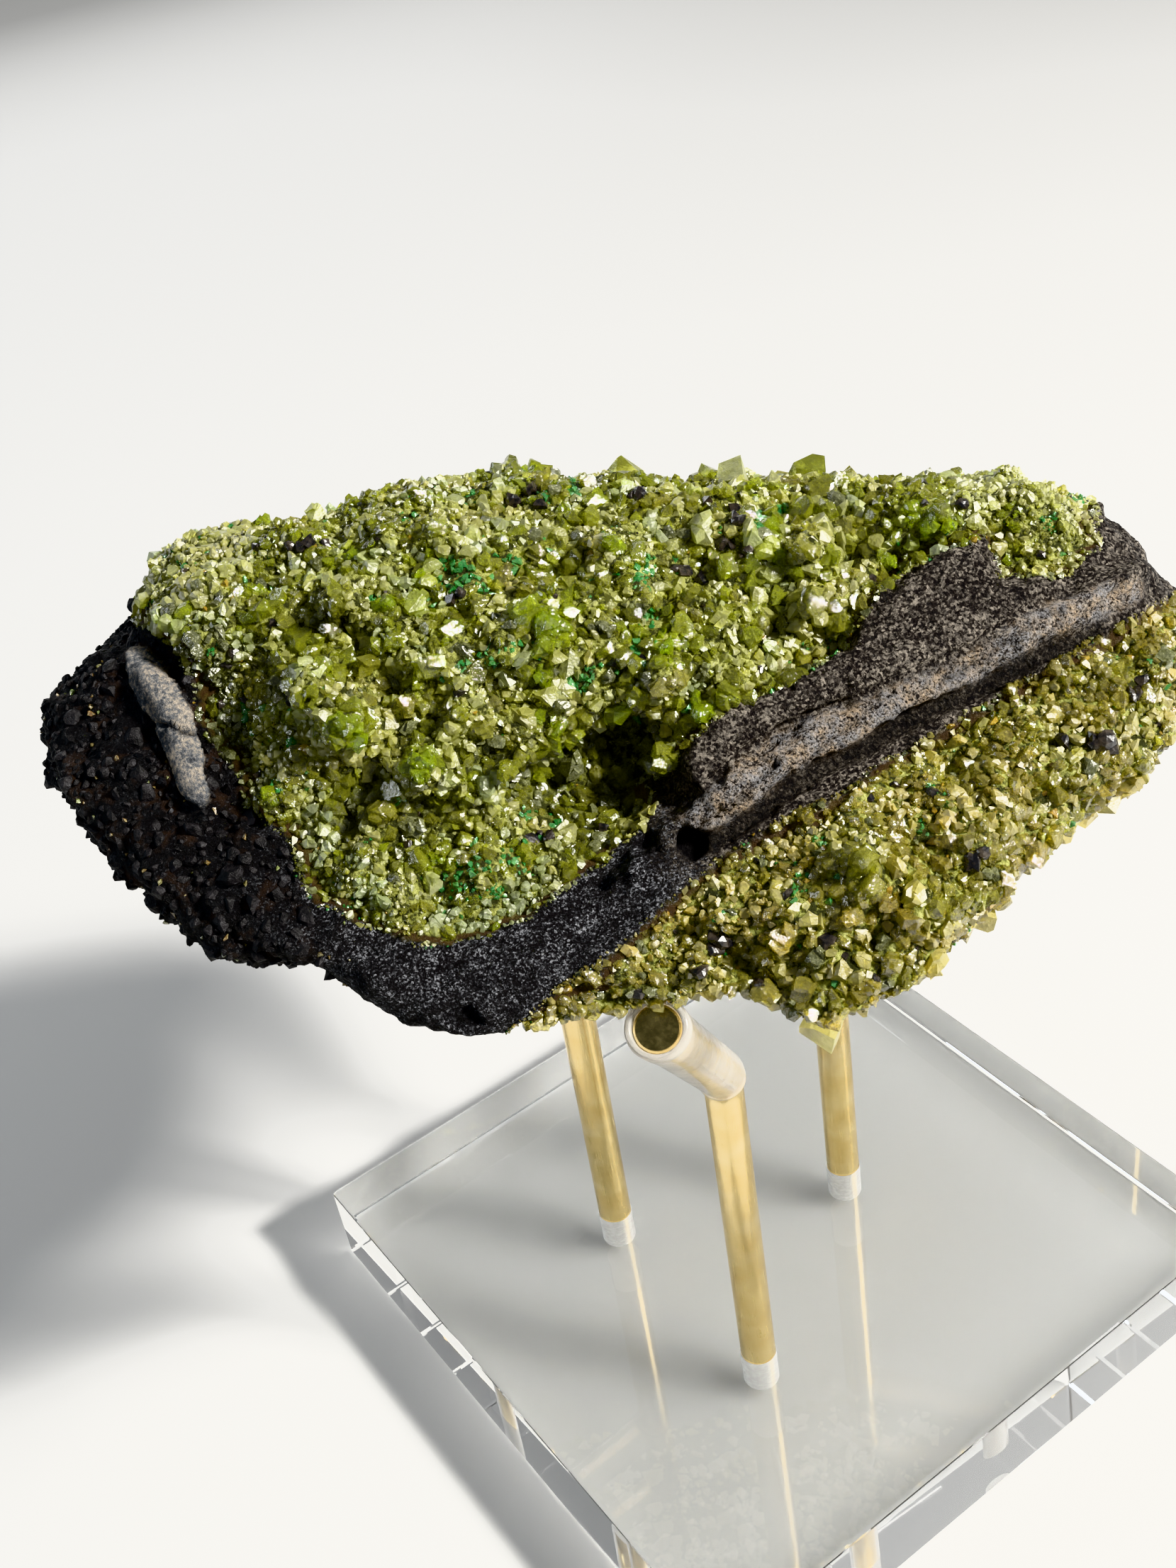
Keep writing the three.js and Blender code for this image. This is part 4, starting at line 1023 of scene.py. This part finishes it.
def kind_of(place, radius):
    """The kind and the tint of a grain at a place, by luck, spots and patches."""
    x, y = seat_spots[place]
    luck, tint = chance.random(), chance.beta(2.0, 2.4)
    seen_here = seat_shown[place]
    if radius < SMALL_GRAIN or not seen_here:
        if seen_here and inside_any(x, y, EMERALD_SPOTS) and luck < SPOT_SHARE:
            return EMERALD, tint
        if luck < EMERALD_LUCK + STREAK_LUCK * streak[place] * (radius < STREAK_GRAIN):
            return EMERALD, tint
        if luck > BLACK_LUCK:
            return BLACK, tint
        if luck > BLACK_LUCK - (AMBER_BELOW if on_lower[place] else AMBER_ABOVE):
            return AMBER, tint
    # Painted shade: dark and black grains in the shade spots and along the contact stand for shade.
    if seen_here and inside_any(x, y, PAINTED_SHADE_SPOTS) and luck < SPOT_SHARE:
        return (BLACK if luck < BLACK_IN_SHADE_SPOTS else DARK_AND_SHADE), tint
    if luck < DUSKY_LUCK + SHADE_AT_CONTACT * (green_now[place] < CONTACT_PIXELS):
        return DARK_AND_SHADE, tint
    # Painted shade: grains in the hollows become dark grains or take deep olive tints.
    if shade[place] > SHADED_FROM + SHADED_SPREAD * chance.random():
        return (DARK_AND_SHADE if chance.random() < DUSKY_IN_SHADE else CLEAR), 0.45 + 0.25 * tint
    if powder[place] > POWDERY_FROM:
        return (CLOUDY if luck < CLOUDY_IN_POWDER else CLEAR), 0.45 * tint
    if seen_here and inside_any(x, y, LIME_SPOTS):
        return CLEAR, 0.75 + 0.25 * tint
    if seen_here and inside_any(x, y, MINT_SPOTS) and luck < MINT_SHARE:
        return CLOUDY, 0.60 + 0.12 * tint
    if seen_here and inside_any(x, y, PALE_SPOTS):
        return CLOUDY, 0.25 * tint
    clear_share = (CLEAR_FAIR if radius > FAIR_GRAIN else CLEAR_SMALL) + PATCH_PULL * glass_patch[place]
    own_tint = np.clip(0.45 * tint + 0.30 + 0.55 * tone[place], 0, 1)
    return (CLEAR if chance.random() < clear_share else CLOUDY), own_tint


print("a grain is black by luck in", round(1 / (1 - BLACK_LUCK)), "small ones")

# %% Fill the green rock with grains
GROWTH_BEHIND = 1.25
COARSE_PATCH = -0.06
KEPT_OFF_GREEN = 0.40
# Each row: a name, the smallest and the largest radius in millimetres, how close two may come, the
# share kept on the hidden side, and how many pixels inside the contact they start.
SIZES = [
    ("large", 0.82, 1.45, 0.66, 1.0, 12),
    ("middle", 0.52, 0.80, 0.64, 1.0, 4),
    ("lesser", 0.30, 0.46, 0.59, 0.4, 0),
    ("small", 0.16, 0.29, 0.55, 0.0, CONTACT),
]
for x, y, pixels, tint in BIG_GRAINS:
    set_down(x, y, pixels, 0.8, "giant", CLEAR, tint, True)
streaked = np.zeros(len(seats), bool)
for x, y, radius in EMERALD_SPOTS:
    streaked |= seat_shown & (np.hypot(seat_spots[:, 0] - x, seat_spots[:, 1] - y) < radius)
for size, low, high, closeness, shown_behind, inset in SIZES:
    order = chance.permutation(places)
    wanted = seat_shown[order] | (chance.random(len(order)) < shown_behind)
    order = order[(green_now[order] > inset) & wanted]
    if size == "large":
        order = order[patch[order] > COARSE_PATCH]
    if low > KEPT_OFF_GREEN:
        order = order[~streaked[order]]
    for place in order:
        radius = (low + (high - low) * chance.random() ** 1.5) * coarse[place] * MM
        radius *= 1 if seat_shown[place] else GROWTH_BEHIND
        if crowd.room(seats[place], radius, closeness):
            crowd.add(seats[place], radius)
            shape = size if seat_shown[place] else "behind"
            kind, tint = kind_of(place, radius)
            grains.append((seats[place], seat_ways[place], radius, shape, kind, tint, honey[place]))
    print(size, "grains so far:", len(grains))


# %% [markdown]
# ## From places to meshes
# Each place takes a grain from the library, turned, stretched and sunk a little into the rock. All
# grains of one kind are joined into one mesh, because thousands of separate objects would be slow
# and would not export well. Every corner keeps the tint of its grain.

# %% Join the grains into meshes
def turned(random):
    """A chance rotation matrix."""
    q = Quaternion(random.normal(size=4))
    q.normalize()
    return np.array(q.to_matrix())


BOX_GAP = 0.02 * MM
LIFTS = {
    "giant": (-0.15, 0.12), "large": (-0.40, 0.10), "middle": (-0.45, 0.20), "lesser": (-0.60, 0.20),
    "small": (-0.50, 0.20), "behind": (-0.35, 0.25),
}


def grain_mesh(name, chosen, finish, seed, lifts=None):
    """One piece from many grains, each sunk a little into the rock and kept inside the box."""
    random = np.random.default_rng(seed)
    all_corners, all_faces, all_tints, all_honey, start = [], [], [], [], 0
    box_low, box_high = np.array(CAD_BOX[0]) + BOX_GAP, np.array(CAD_BOX[1]) - BOX_GAP
    for seat, way, radius, size, _, tint, warmth in chosen:
        corners, faces = GRAIN_KINDS[size][random.integers(SHAPES_EACH)]
        stretch = np.array((1.1, random.uniform(0.75, 1.1), random.uniform(0.75, 1.0)))
        shaped = (corners * stretch) @ turned(random).T * radius
        shaped += seat + way * radius * random.uniform(*(lifts or LIFTS[size]))
        past_low = np.maximum(box_low - shaped.min(axis=0), 0)
        past_high = np.maximum(shaped.max(axis=0) - box_high, 0)
        shaped += past_low - past_high
        all_corners.append(shaped)
        all_faces.append(faces + start)
        all_tints.append(np.full(len(corners), tint))
        all_honey.append(np.full(len(corners), warmth))
        start += len(corners)
    mesh = bpy.data.meshes.new(name)
    mesh.from_pydata(np.concatenate(all_corners).tolist(), [], np.concatenate(all_faces).tolist())
    store(mesh, "tint", np.concatenate(all_tints))
    store(mesh, "honey", np.concatenate(all_honey))
    mesh.materials.append(finish)
    piece = placed(name, mesh)
    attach(piece, "root")
    print(name, len(chosen), "grains,", len(mesh.polygons), "triangles")
    return piece


# %% [markdown]
# ## Finish of the grains
# Olivine is clear yellow-green like glass, so its shader gets transmission and olivine's index of
# refraction. Many grains are clouded by tiny cracks and look creamy: those let less light through
# and are rougher. Every grain carries a number from 0 to 1, and a colour ramp turns it into a tint,
# so that one material gives a thousand slightly different stones. A second number warms the grains
# where the rock is stained. Two waves of bump bend the flat faces, or a whole face would flash white.

# %% Glassy materials
CREAM = (0.83, 0.86, 0.38)
STRAW = (0.82, 0.83, 0.24)
PERIDOT = (0.79, 0.88, 0.12)
LIME = (0.70, 0.90, 0.05)
# Deep olive is a tone of the grains and also painted shade in the hollows.
DEEP_OLIVE_AND_SHADE = (0.48, 0.50, 0.10)
GREY_GREEN = (0.70, 0.80, 0.47)
FROST = (0.85, 0.87, 0.50)
CLOUD = (0.80, 0.80, 0.62)
HONEY = (0.97, 0.83, 0.30)
OLIVINE_IOR = 1.67


def glassy(name, stops, see_through, smooth, rough, index, frosting=0.16, honeyed=False):
    """A see-through grain finish whose colour follows each grain's own number."""
    material, tree, shader = new_material(name)
    colour = ramp(tree, carried(tree, "tint"), stops)
    if honeyed:
        colour = over(tree, carried(tree, "honey"), colour, HONEY)
    clouds = ramp(tree, noise_at(tree, 0.55, 3, 0.6), [(0.38, CLOUD), (0.56, (1, 1, 1))])
    colour = over(tree, 1, colour, clouds, "MULTIPLY")
    frost = noise_at(tree, 0.16, 3, 0.7)
    veil = times(tree, cutoff(tree, frost, 0.50, 0.64), frosting)
    feed_all(tree, shader, {
        "Base Color": over(tree, veil, colour, FROST), "Roughness": between(tree, frost, smooth, rough),
        "Transmission Weight": see_through, "IOR": index,
    })
    unevenness = added(tree, noise_at(tree, 0.60, 2), times(tree, noise_at(tree, 0.16, 3), 0.45))
    bumped(tree, shader, unevenness, 0.11)
    return material


# After the stops of each ramp: how much light comes through, the two ends of the roughness, the IOR.
finishes = {
    CLEAR: glassy(
        "olivine_clear",
        [(0.0, CREAM), (0.16, STRAW), (0.36, PERIDOT), (0.55, DEEP_OLIVE_AND_SHADE), (0.72, PERIDOT), (0.88, LIME)],
        0.94, 0.05, 0.13, OLIVINE_IOR, honeyed=True,
    ),
    CLOUDY: glassy(
        "olivine_cloudy",
        [(0.0, CREAM), (0.35, STRAW), (0.65, GREY_GREEN), (0.90, PERIDOT)],
        0.89, 0.32, 0.48, OLIVINE_IOR, honeyed=True,
    ),
    EMERALD: glassy(
        "diopside_green",
        [(0.0, (0.26, 0.62, 0.26)), (0.5, (0.09, 0.42, 0.13)), (1.0, (0.02, 0.20, 0.05))],
        0.82, 0.0, 0.15, 1.68,
    ),
    AMBER: glassy(
        "amber_stained", [(0.0, (0.70, 0.50, 0.10)), (1.0, (0.42, 0.24, 0.04))], 0.8, 0.0, 0.20, 1.66,
    ),
    # Dark grains, mostly painted shade where the rock lies in shade; a few fall anywhere by luck.
    DARK_AND_SHADE: glassy(
        "olivine_dark_and_shade", [(0.0, (0.05, 0.055, 0.03)), (1.0, (0.18, 0.19, 0.10))],
        0.6, 0.05, 0.30, OLIVINE_IOR,
    ),
}
black_finish, tree, shader = new_material("spinel_black")
spinel = ramp(tree, noise_at(tree, 0.6), [(0.4, (0.006, 0.006, 0.007)), (0.7, (0.03, 0.025, 0.02))])
feed_all(tree, shader, {"Base Color": spinel, "Roughness": between(tree, noise_at(tree, 0.5), 0.12, 0.35)})
bumped(tree, shader, noise_at(tree, 0.3), 0.05, 0.6)
finishes[BLACK] = black_finish
print("finishes:", sorted(finishes))

# %% Make the grain pieces
ALL_SHAPES = ("giant", "large", "middle", "lesser", "small", "behind")
GRAIN_PIECES = [
    ("olivine_clear_large", CLEAR, ("giant", "large")), ("olivine_clear_middle", CLEAR, ("middle",)),
    ("olivine_clear_small", CLEAR, ("lesser", "small")), ("olivine_clear_behind", CLEAR, ("behind",)),
    ("olivine_cloudy_large", CLOUDY, ("large",)), ("olivine_cloudy_middle", CLOUDY, ("middle",)),
    ("olivine_cloudy_small", CLOUDY, ("lesser", "small")), ("olivine_cloudy_behind", CLOUDY, ("behind",)),
    ("olivine_dark_and_shade", DARK_AND_SHADE, ALL_SHAPES), ("diopside_grains", EMERALD, ALL_SHAPES),
    ("amber_grains", AMBER, ALL_SHAPES), ("spinel_grains", BLACK, ALL_SHAPES),
]
total = 0
for number, (name, kind, sizes) in enumerate(GRAIN_PIECES):
    chosen = [grain for grain in grains if grain[4] == kind and grain[3] in sizes]
    total += len(grain_mesh(name, chosen, finishes[kind], 40 + number).data.polygons)
print("all grains:", total, "triangles")

# %% [markdown]
# ## The rough left end
# At the left the basalt is a crust of knobs with rusty and green crumbs in it. We set small lumps
# of the same dark rock on it, fewer towards the smooth band, and sprinkle a few dull crumbs between
# them. They are made as the grains are, because a bump would leave the outline smooth.

# %% Strew lumps over the left end
PAST_GREEN = 6
CRUST_RIGHT = 500
FLAKE_EDGE = 0.1
KNOB_SHARE, CRUMB_SHARE = 0.25, 0.03
crust = (green_depth(skin_corners) < -PAST_GREEN) & (spots[:, 0] < CRUST_RIGHT) & (flake < FLAKE_EDGE)
crust = np.flatnonzero(crust)
CRUST_BOX = 2.4 * MM
crust_crowd = Crowd(CRUST_BOX)


def strewn(share, base, spread, power, closeness, shape):
    """Lumps on the crust by chance, kept where there is room, each written down as a grain is."""
    lumps = []
    for place in chance.permutation(crust):
        radius = (base + spread * chance.random() ** power) * MM
        if chance.random() < share[place] and crust_crowd.room(skin_corners[place], radius, closeness):
            crust_crowd.add(skin_corners[place], radius)
            seat = skin_corners[place], skin_normals[place]
            lumps.append((*seat, radius, shape, "crust", chance.random(), 0))
    return lumps


knob_share = KNOB_SHARE * (1 - blend_step(spots[:, 0], 340, 490))
knob_list = strewn(knob_share, 0.22, 0.55, 2, 0.85, "middle")
crumb_list = strewn(np.full(len(spots), CRUMB_SHARE), 0.10, 0.18, 1, 0.8, "small")
print(len(knob_list), "knobs,", len(crumb_list), "crumbs")

# %% Knobs and crumbs
knob_finish, tree, shader = new_material("basalt_knobs")
# The knobs keep darker tones than the band's specks: basalt colours with painted shade of the left end.
knob_tones_and_shade = [(0.42, SOOT_BLACK_AND_SHADE), (0.60, CHARCOAL), (0.74, DULL_GREY), (0.84, RUST)]
knob_colour = ramp(tree, noise_at(tree, 1.0, 4, 0.65), knob_tones_and_shade)
rough = between(tree, noise_at(tree, 0.4), 0.40, 0.80)
feed_all(tree, shader, {"Base Color": knob_colour, "Roughness": rough, "Specular IOR Level": 0.20})
bumped(tree, shader, noise_at(tree, 0.35, 4, 0.7), 0.2)
crumb_finish = glassy(
    "rusty_crumbs",
    [
        (0.0, (0.10, 0.06, 0.03)), (0.5, (0.08, 0.06, 0.03)),
        (0.8, (0.08, 0.11, 0.04)), (1.0, (0.14, 0.10, 0.06)),
    ],
    0.2, 0.10, 0.45, 1.6,
)
grain_mesh("basalt_knobs", knob_list, knob_finish, 61, (-0.6, -0.2))
grain_mesh("rusty_crumbs", crumb_list, crumb_finish, 62, (-0.4, 0.2))

# %% [markdown]
# ## The stand
# The rods are drawn brass, bent once, the sleeves are soft clear tube, and the block is polished
# acrylic with three drilled holes. All of them are machine made, so they are built from exact sizes.
# Rods and sleeves could be curves with a bevel, but rings of points swept along a line leave both
# ends under our control. A ring is a place, a direction and a radius, and the same function makes a
# solid rod, a hollow tube and the drill that cuts the holes.

# %% Sizes of the stand
BLOCK_SIDE = 63.5 * MM
BLOCK_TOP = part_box("acrylic_block")[1].z
BLOCK_TURN = math.radians(-59.6)
BLOCK_LIFT = 0.02 * MM
ROD_RADIUS = 1.6 * MM
ROD_RISE = 36 * MM
ARM_LENGTH = 31.5 * MM
ARM_TILT = math.radians(38.3)
BEND_RADIUS = 6 * MM
HOLE_DEPTH = 6.5 * MM
HOLE_RADIUS = ROD_RADIUS + 0.06 * MM
ABOVE_BLOCK = 2 * MM
UP = Vector((0, 0, 1))
BEND_STEPS = 14
RODS = {
    "front": (12.2 * MM, -11.3 * MM, math.radians(-45)),
    "left": (-9.8 * MM, -11.3 * MM, math.radians(-135)),
    "right": (1.2 * MM, 9.2 * MM, math.radians(90)),
}


def rod_line(rod, start_angle=0.0):
    """Foot, points round the bend from some angle on, direction of the arm and its end."""
    x, y, lean = RODS[rod]
    foot = Matrix.Rotation(BLOCK_TURN, 3, "Z") @ Vector((x, y, 0)) + Vector((0, 0, BLOCK_TOP))
    out = Vector((math.cos(lean + BLOCK_TURN), math.sin(lean + BLOCK_TURN), 0))
    corner = foot + UP * ROD_RISE
    bend_start = corner - UP * BEND_RADIUS * math.tan(ARM_TILT / 2)
    rounds = []
    for step in range(BEND_STEPS + 1):
        angle = start_angle + (ARM_TILT - start_angle) * step / BEND_STEPS
        point = bend_start + out * BEND_RADIUS * (1 - math.cos(angle)) + UP * BEND_RADIUS * math.sin(angle)
        rounds.append((point, UP * math.cos(angle) + out * math.sin(angle)))
    arm = rounds[-1][1]
    return foot, rounds, arm, corner + arm * ARM_LENGTH


for rod in RODS:
    print(rod, "arm ends at", [round(v / MM, 1) for v in rod_line(rod)[3]])


# %% Sweep rings into a solid
def swept(name, rings, sides, hollow=False):
    """A piece from rings of (place, direction, radius). A hollow one goes out and back on itself."""
    net = bmesh.new()
    loops = []
    for place, way, radius in rings:
        side = way.cross(Vector((0.31, 0.95, 0.05))).normalized()
        other = way.cross(side).normalized()
        angles = [2 * math.pi * k / sides for k in range(sides)]
        around = [math.cos(a) * side + math.sin(a) * other for a in angles]
        loops.append([net.verts.new(place + radius * outward) for outward in around])
    pairs = list(zip(loops, loops[1:] + loops[:1])) if hollow else list(zip(loops, loops[1:]))
    for first, second in pairs:
        for k in range(sides):
            n = (k + 1) % sides
            net.faces.new((first[k], first[n], second[n], second[k])).smooth = True
    if not hollow:
        net.faces.new(loops[0])
        net.faces.new(loops[-1])
    bmesh.ops.recalc_face_normals(net, faces=net.faces)
    mesh = bpy.data.meshes.new(name)
    net.to_mesh(mesh)
    net.free()
    return placed(name, mesh)


# %% Brass rods
brass, tree, shader = new_material("drawn_brass")
tarnish_stops = [(0.30, (0.66, 0.49, 0.21)), (0.55, (0.74, 0.58, 0.28)), (0.75, (0.80, 0.65, 0.36))]
tarnish = ramp(tree, noise_at(tree, 3.0), tarnish_stops)
draw_lines = noise_at(tree, 0.15, 3, 0.6, (1, 1, 0.05))
rough = between(tree, draw_lines, 0.20, 0.28)
feed_all(tree, shader, {"Base Color": tarnish, "Metallic": 1, "Roughness": rough})
bumped(tree, shader, draw_lines, 0.01, 0.04)
# Painted shade and reflection: the rod's end is dark olive to stand for the shade and the dark stone
# mirrored in it.
end_shade_finish, tree, shader = new_material("brass_end_painted_shade")
end_shade_colour = ramp(tree, noise_at(tree, 0.8), [(0.4, (0.16, 0.14, 0.08)), (0.7, (0.28, 0.24, 0.13))])
rough = between(tree, noise_at(tree, 0.3), 0.18, 0.35)
feed_all(tree, shader, {"Base Color": end_shade_colour, "Metallic": 1, "Roughness": rough})
bumped(tree, shader, noise_at(tree, 0.25), 0.02, 0.4)
EDGE = 0.18 * MM
UNDER_ROD = 0.3 * MM
END_REACH = 0.05 * MM
for rod in RODS:
    foot, rounds, arm, end = rod_line(rod)
    bottom = foot - UP * (HOLE_DEPTH - UNDER_ROD)
    rings = [(bottom, UP, ROD_RADIUS), (foot, UP, ROD_RADIUS)]
    rings += [(place, way, ROD_RADIUS) for place, way in rounds]
    rings += [(end - arm * EDGE, arm, ROD_RADIUS), (end - arm * 0.3 * EDGE, arm, ROD_RADIUS - 0.3 * EDGE)]
    rings += [(end, arm, ROD_RADIUS - EDGE)]
    piece = swept("rod_" + rod, rings, 40)
    piece.data.materials.append(brass)
    piece.data.materials.append(end_shade_finish)
    for face in piece.data.polygons:
        face.material_index = int((face.center - end).length < END_REACH)
    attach(piece, "root")
    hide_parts("brass_rod_" + rod)
print("three rods,", round((ROD_RISE + ARM_LENGTH) / MM, 1), "mm above the block")

# %% Clear sleeves
SLEEVE_INNER = 1.66 * MM
SLEEVE_THIN = 1.98 * MM
SLEEVE_WIDE = 2.14 * MM
PAST_ROD_MM = 0.32
FLARE_MM = (6, 1.2)
sleeve_finish, tree, shader = new_material("clear_soft_tube")
feed_all(tree, shader, {
    "Base Color": (0.97, 0.94, 0.88), "Transmission Weight": 0.88, "IOR": 1.38,
    "Roughness": between(tree, noise_at(tree, 2.0), 0.05, 0.22),
})
bumped(tree, shader, noise_at(tree, 1.2), 0.06, 0.5)
for rod in RODS:
    foot, rounds, arm, end = rod_line(rod, ARM_TILT * 0.55)
    tip = end + arm * PAST_ROD_MM * MM
    outer = [(place, way, SLEEVE_THIN) for place, way in rounds]
    outer += [(tip - arm * FLARE_MM[0] * MM, arm, SLEEVE_THIN)]
    outer += [(tip - arm * FLARE_MM[1] * MM, arm, SLEEVE_WIDE)]
    outer += [(tip - arm * 0.25 * MM, arm, SLEEVE_WIDE), (tip, arm, SLEEVE_WIDE - 0.14 * MM)]
    inner = [(place, way, SLEEVE_INNER) for place, way, _ in outer[:-2]]
    inner += [(tip - arm * 0.15 * MM, arm, SLEEVE_INNER), (tip, arm, SLEEVE_INNER + 0.08 * MM)]
    piece = swept("sleeve_" + rod, outer + inner[::-1], 48, hollow=True)
    piece.data.materials.append(sleeve_finish)
    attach(piece, "root")
    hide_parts("clear_sleeve_" + rod)
print("three sleeves,", round(2 * SLEEVE_WIDE / MM, 2), "mm across at the end")

# %% [markdown]
# ## The clear block
# A cube is scaled to the block's size, turned, and given small bevels, because a polished edge shows
# as a bright line. The holes are cut by a boolean, and their walls stay frosted from the drill, so
# those faces get a rougher material than the polished outside.

# %% Block with drilled holes
BEVEL = 0.35 * MM
net = bmesh.new()
bmesh.ops.create_cube(net, size=1)
bmesh.ops.scale(net, vec=(BLOCK_SIDE, BLOCK_SIDE, BLOCK_TOP - BLOCK_LIFT), verts=net.verts)
bmesh.ops.translate(net, vec=(0, 0, (BLOCK_TOP + BLOCK_LIFT) / 2), verts=net.verts)
bmesh.ops.rotate(net, cent=(0, 0, 0), matrix=Matrix.Rotation(BLOCK_TURN, 3, "Z"), verts=net.verts)
bmesh.ops.bevel(net, geom=net.edges[:], offset=BEVEL, segments=3, profile=0.5, affect="EDGES")
block_mesh = bpy.data.meshes.new("clear_block")
net.to_mesh(block_mesh)
net.free()
block = placed("clear_block", block_mesh)
for rod in RODS:
    foot = rod_line(rod)[0]
    rings = [(foot - UP * HOLE_DEPTH, UP, HOLE_RADIUS), (foot + UP * ABOVE_BLOCK, UP, HOLE_RADIUS)]
    drill = block.modifiers.new("hole_" + rod, "BOOLEAN")
    drill.operation = "DIFFERENCE"
    drill.object = swept("drill_" + rod, rings, 48)
drilled = finished_mesh(block)
block.modifiers.clear()
block.data = drilled
for rod in RODS:
    bpy.data.objects.remove(bpy.data.objects["drill_" + rod])

# %% Polished and frosted acrylic
ACRYLIC_IOR = 1.49
FROST_REACH = 0.2 * MM
clear, tree, shader = new_material("polished_acrylic")
feed_all(tree, shader, {
    "Base Color": (0.98, 0.99, 0.985), "Transmission Weight": 1.0, "IOR": ACRYLIC_IOR,
    "Roughness": between(tree, noise_at(tree, 9.0), 0.0, 0.02),
})
frosted, tree, shader = new_material("frosted_acrylic")
feed_all(tree, shader, {
    "Base Color": (0.93, 0.93, 0.92), "Transmission Weight": 0.8, "IOR": ACRYLIC_IOR,
    "Roughness": between(tree, noise_at(tree, 0.5), 0.35, 0.6),
})
block.data.materials.clear()
block.data.materials.append(clear)
block.data.materials.append(frosted)
feet = [rod_line(rod)[0] for rod in RODS]
frosted_count = 0
for face in block.data.polygons:
    near_hole = min((face.center.xy - foot.xy).length for foot in feet) < ROD_RADIUS + FROST_REACH
    face.material_index = int(near_hole)
    frosted_count += near_hole
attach(block, "root")
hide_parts("acrylic_block")
print("block:", len(block.data.polygons), "faces,", frosted_count, "of them frosted")
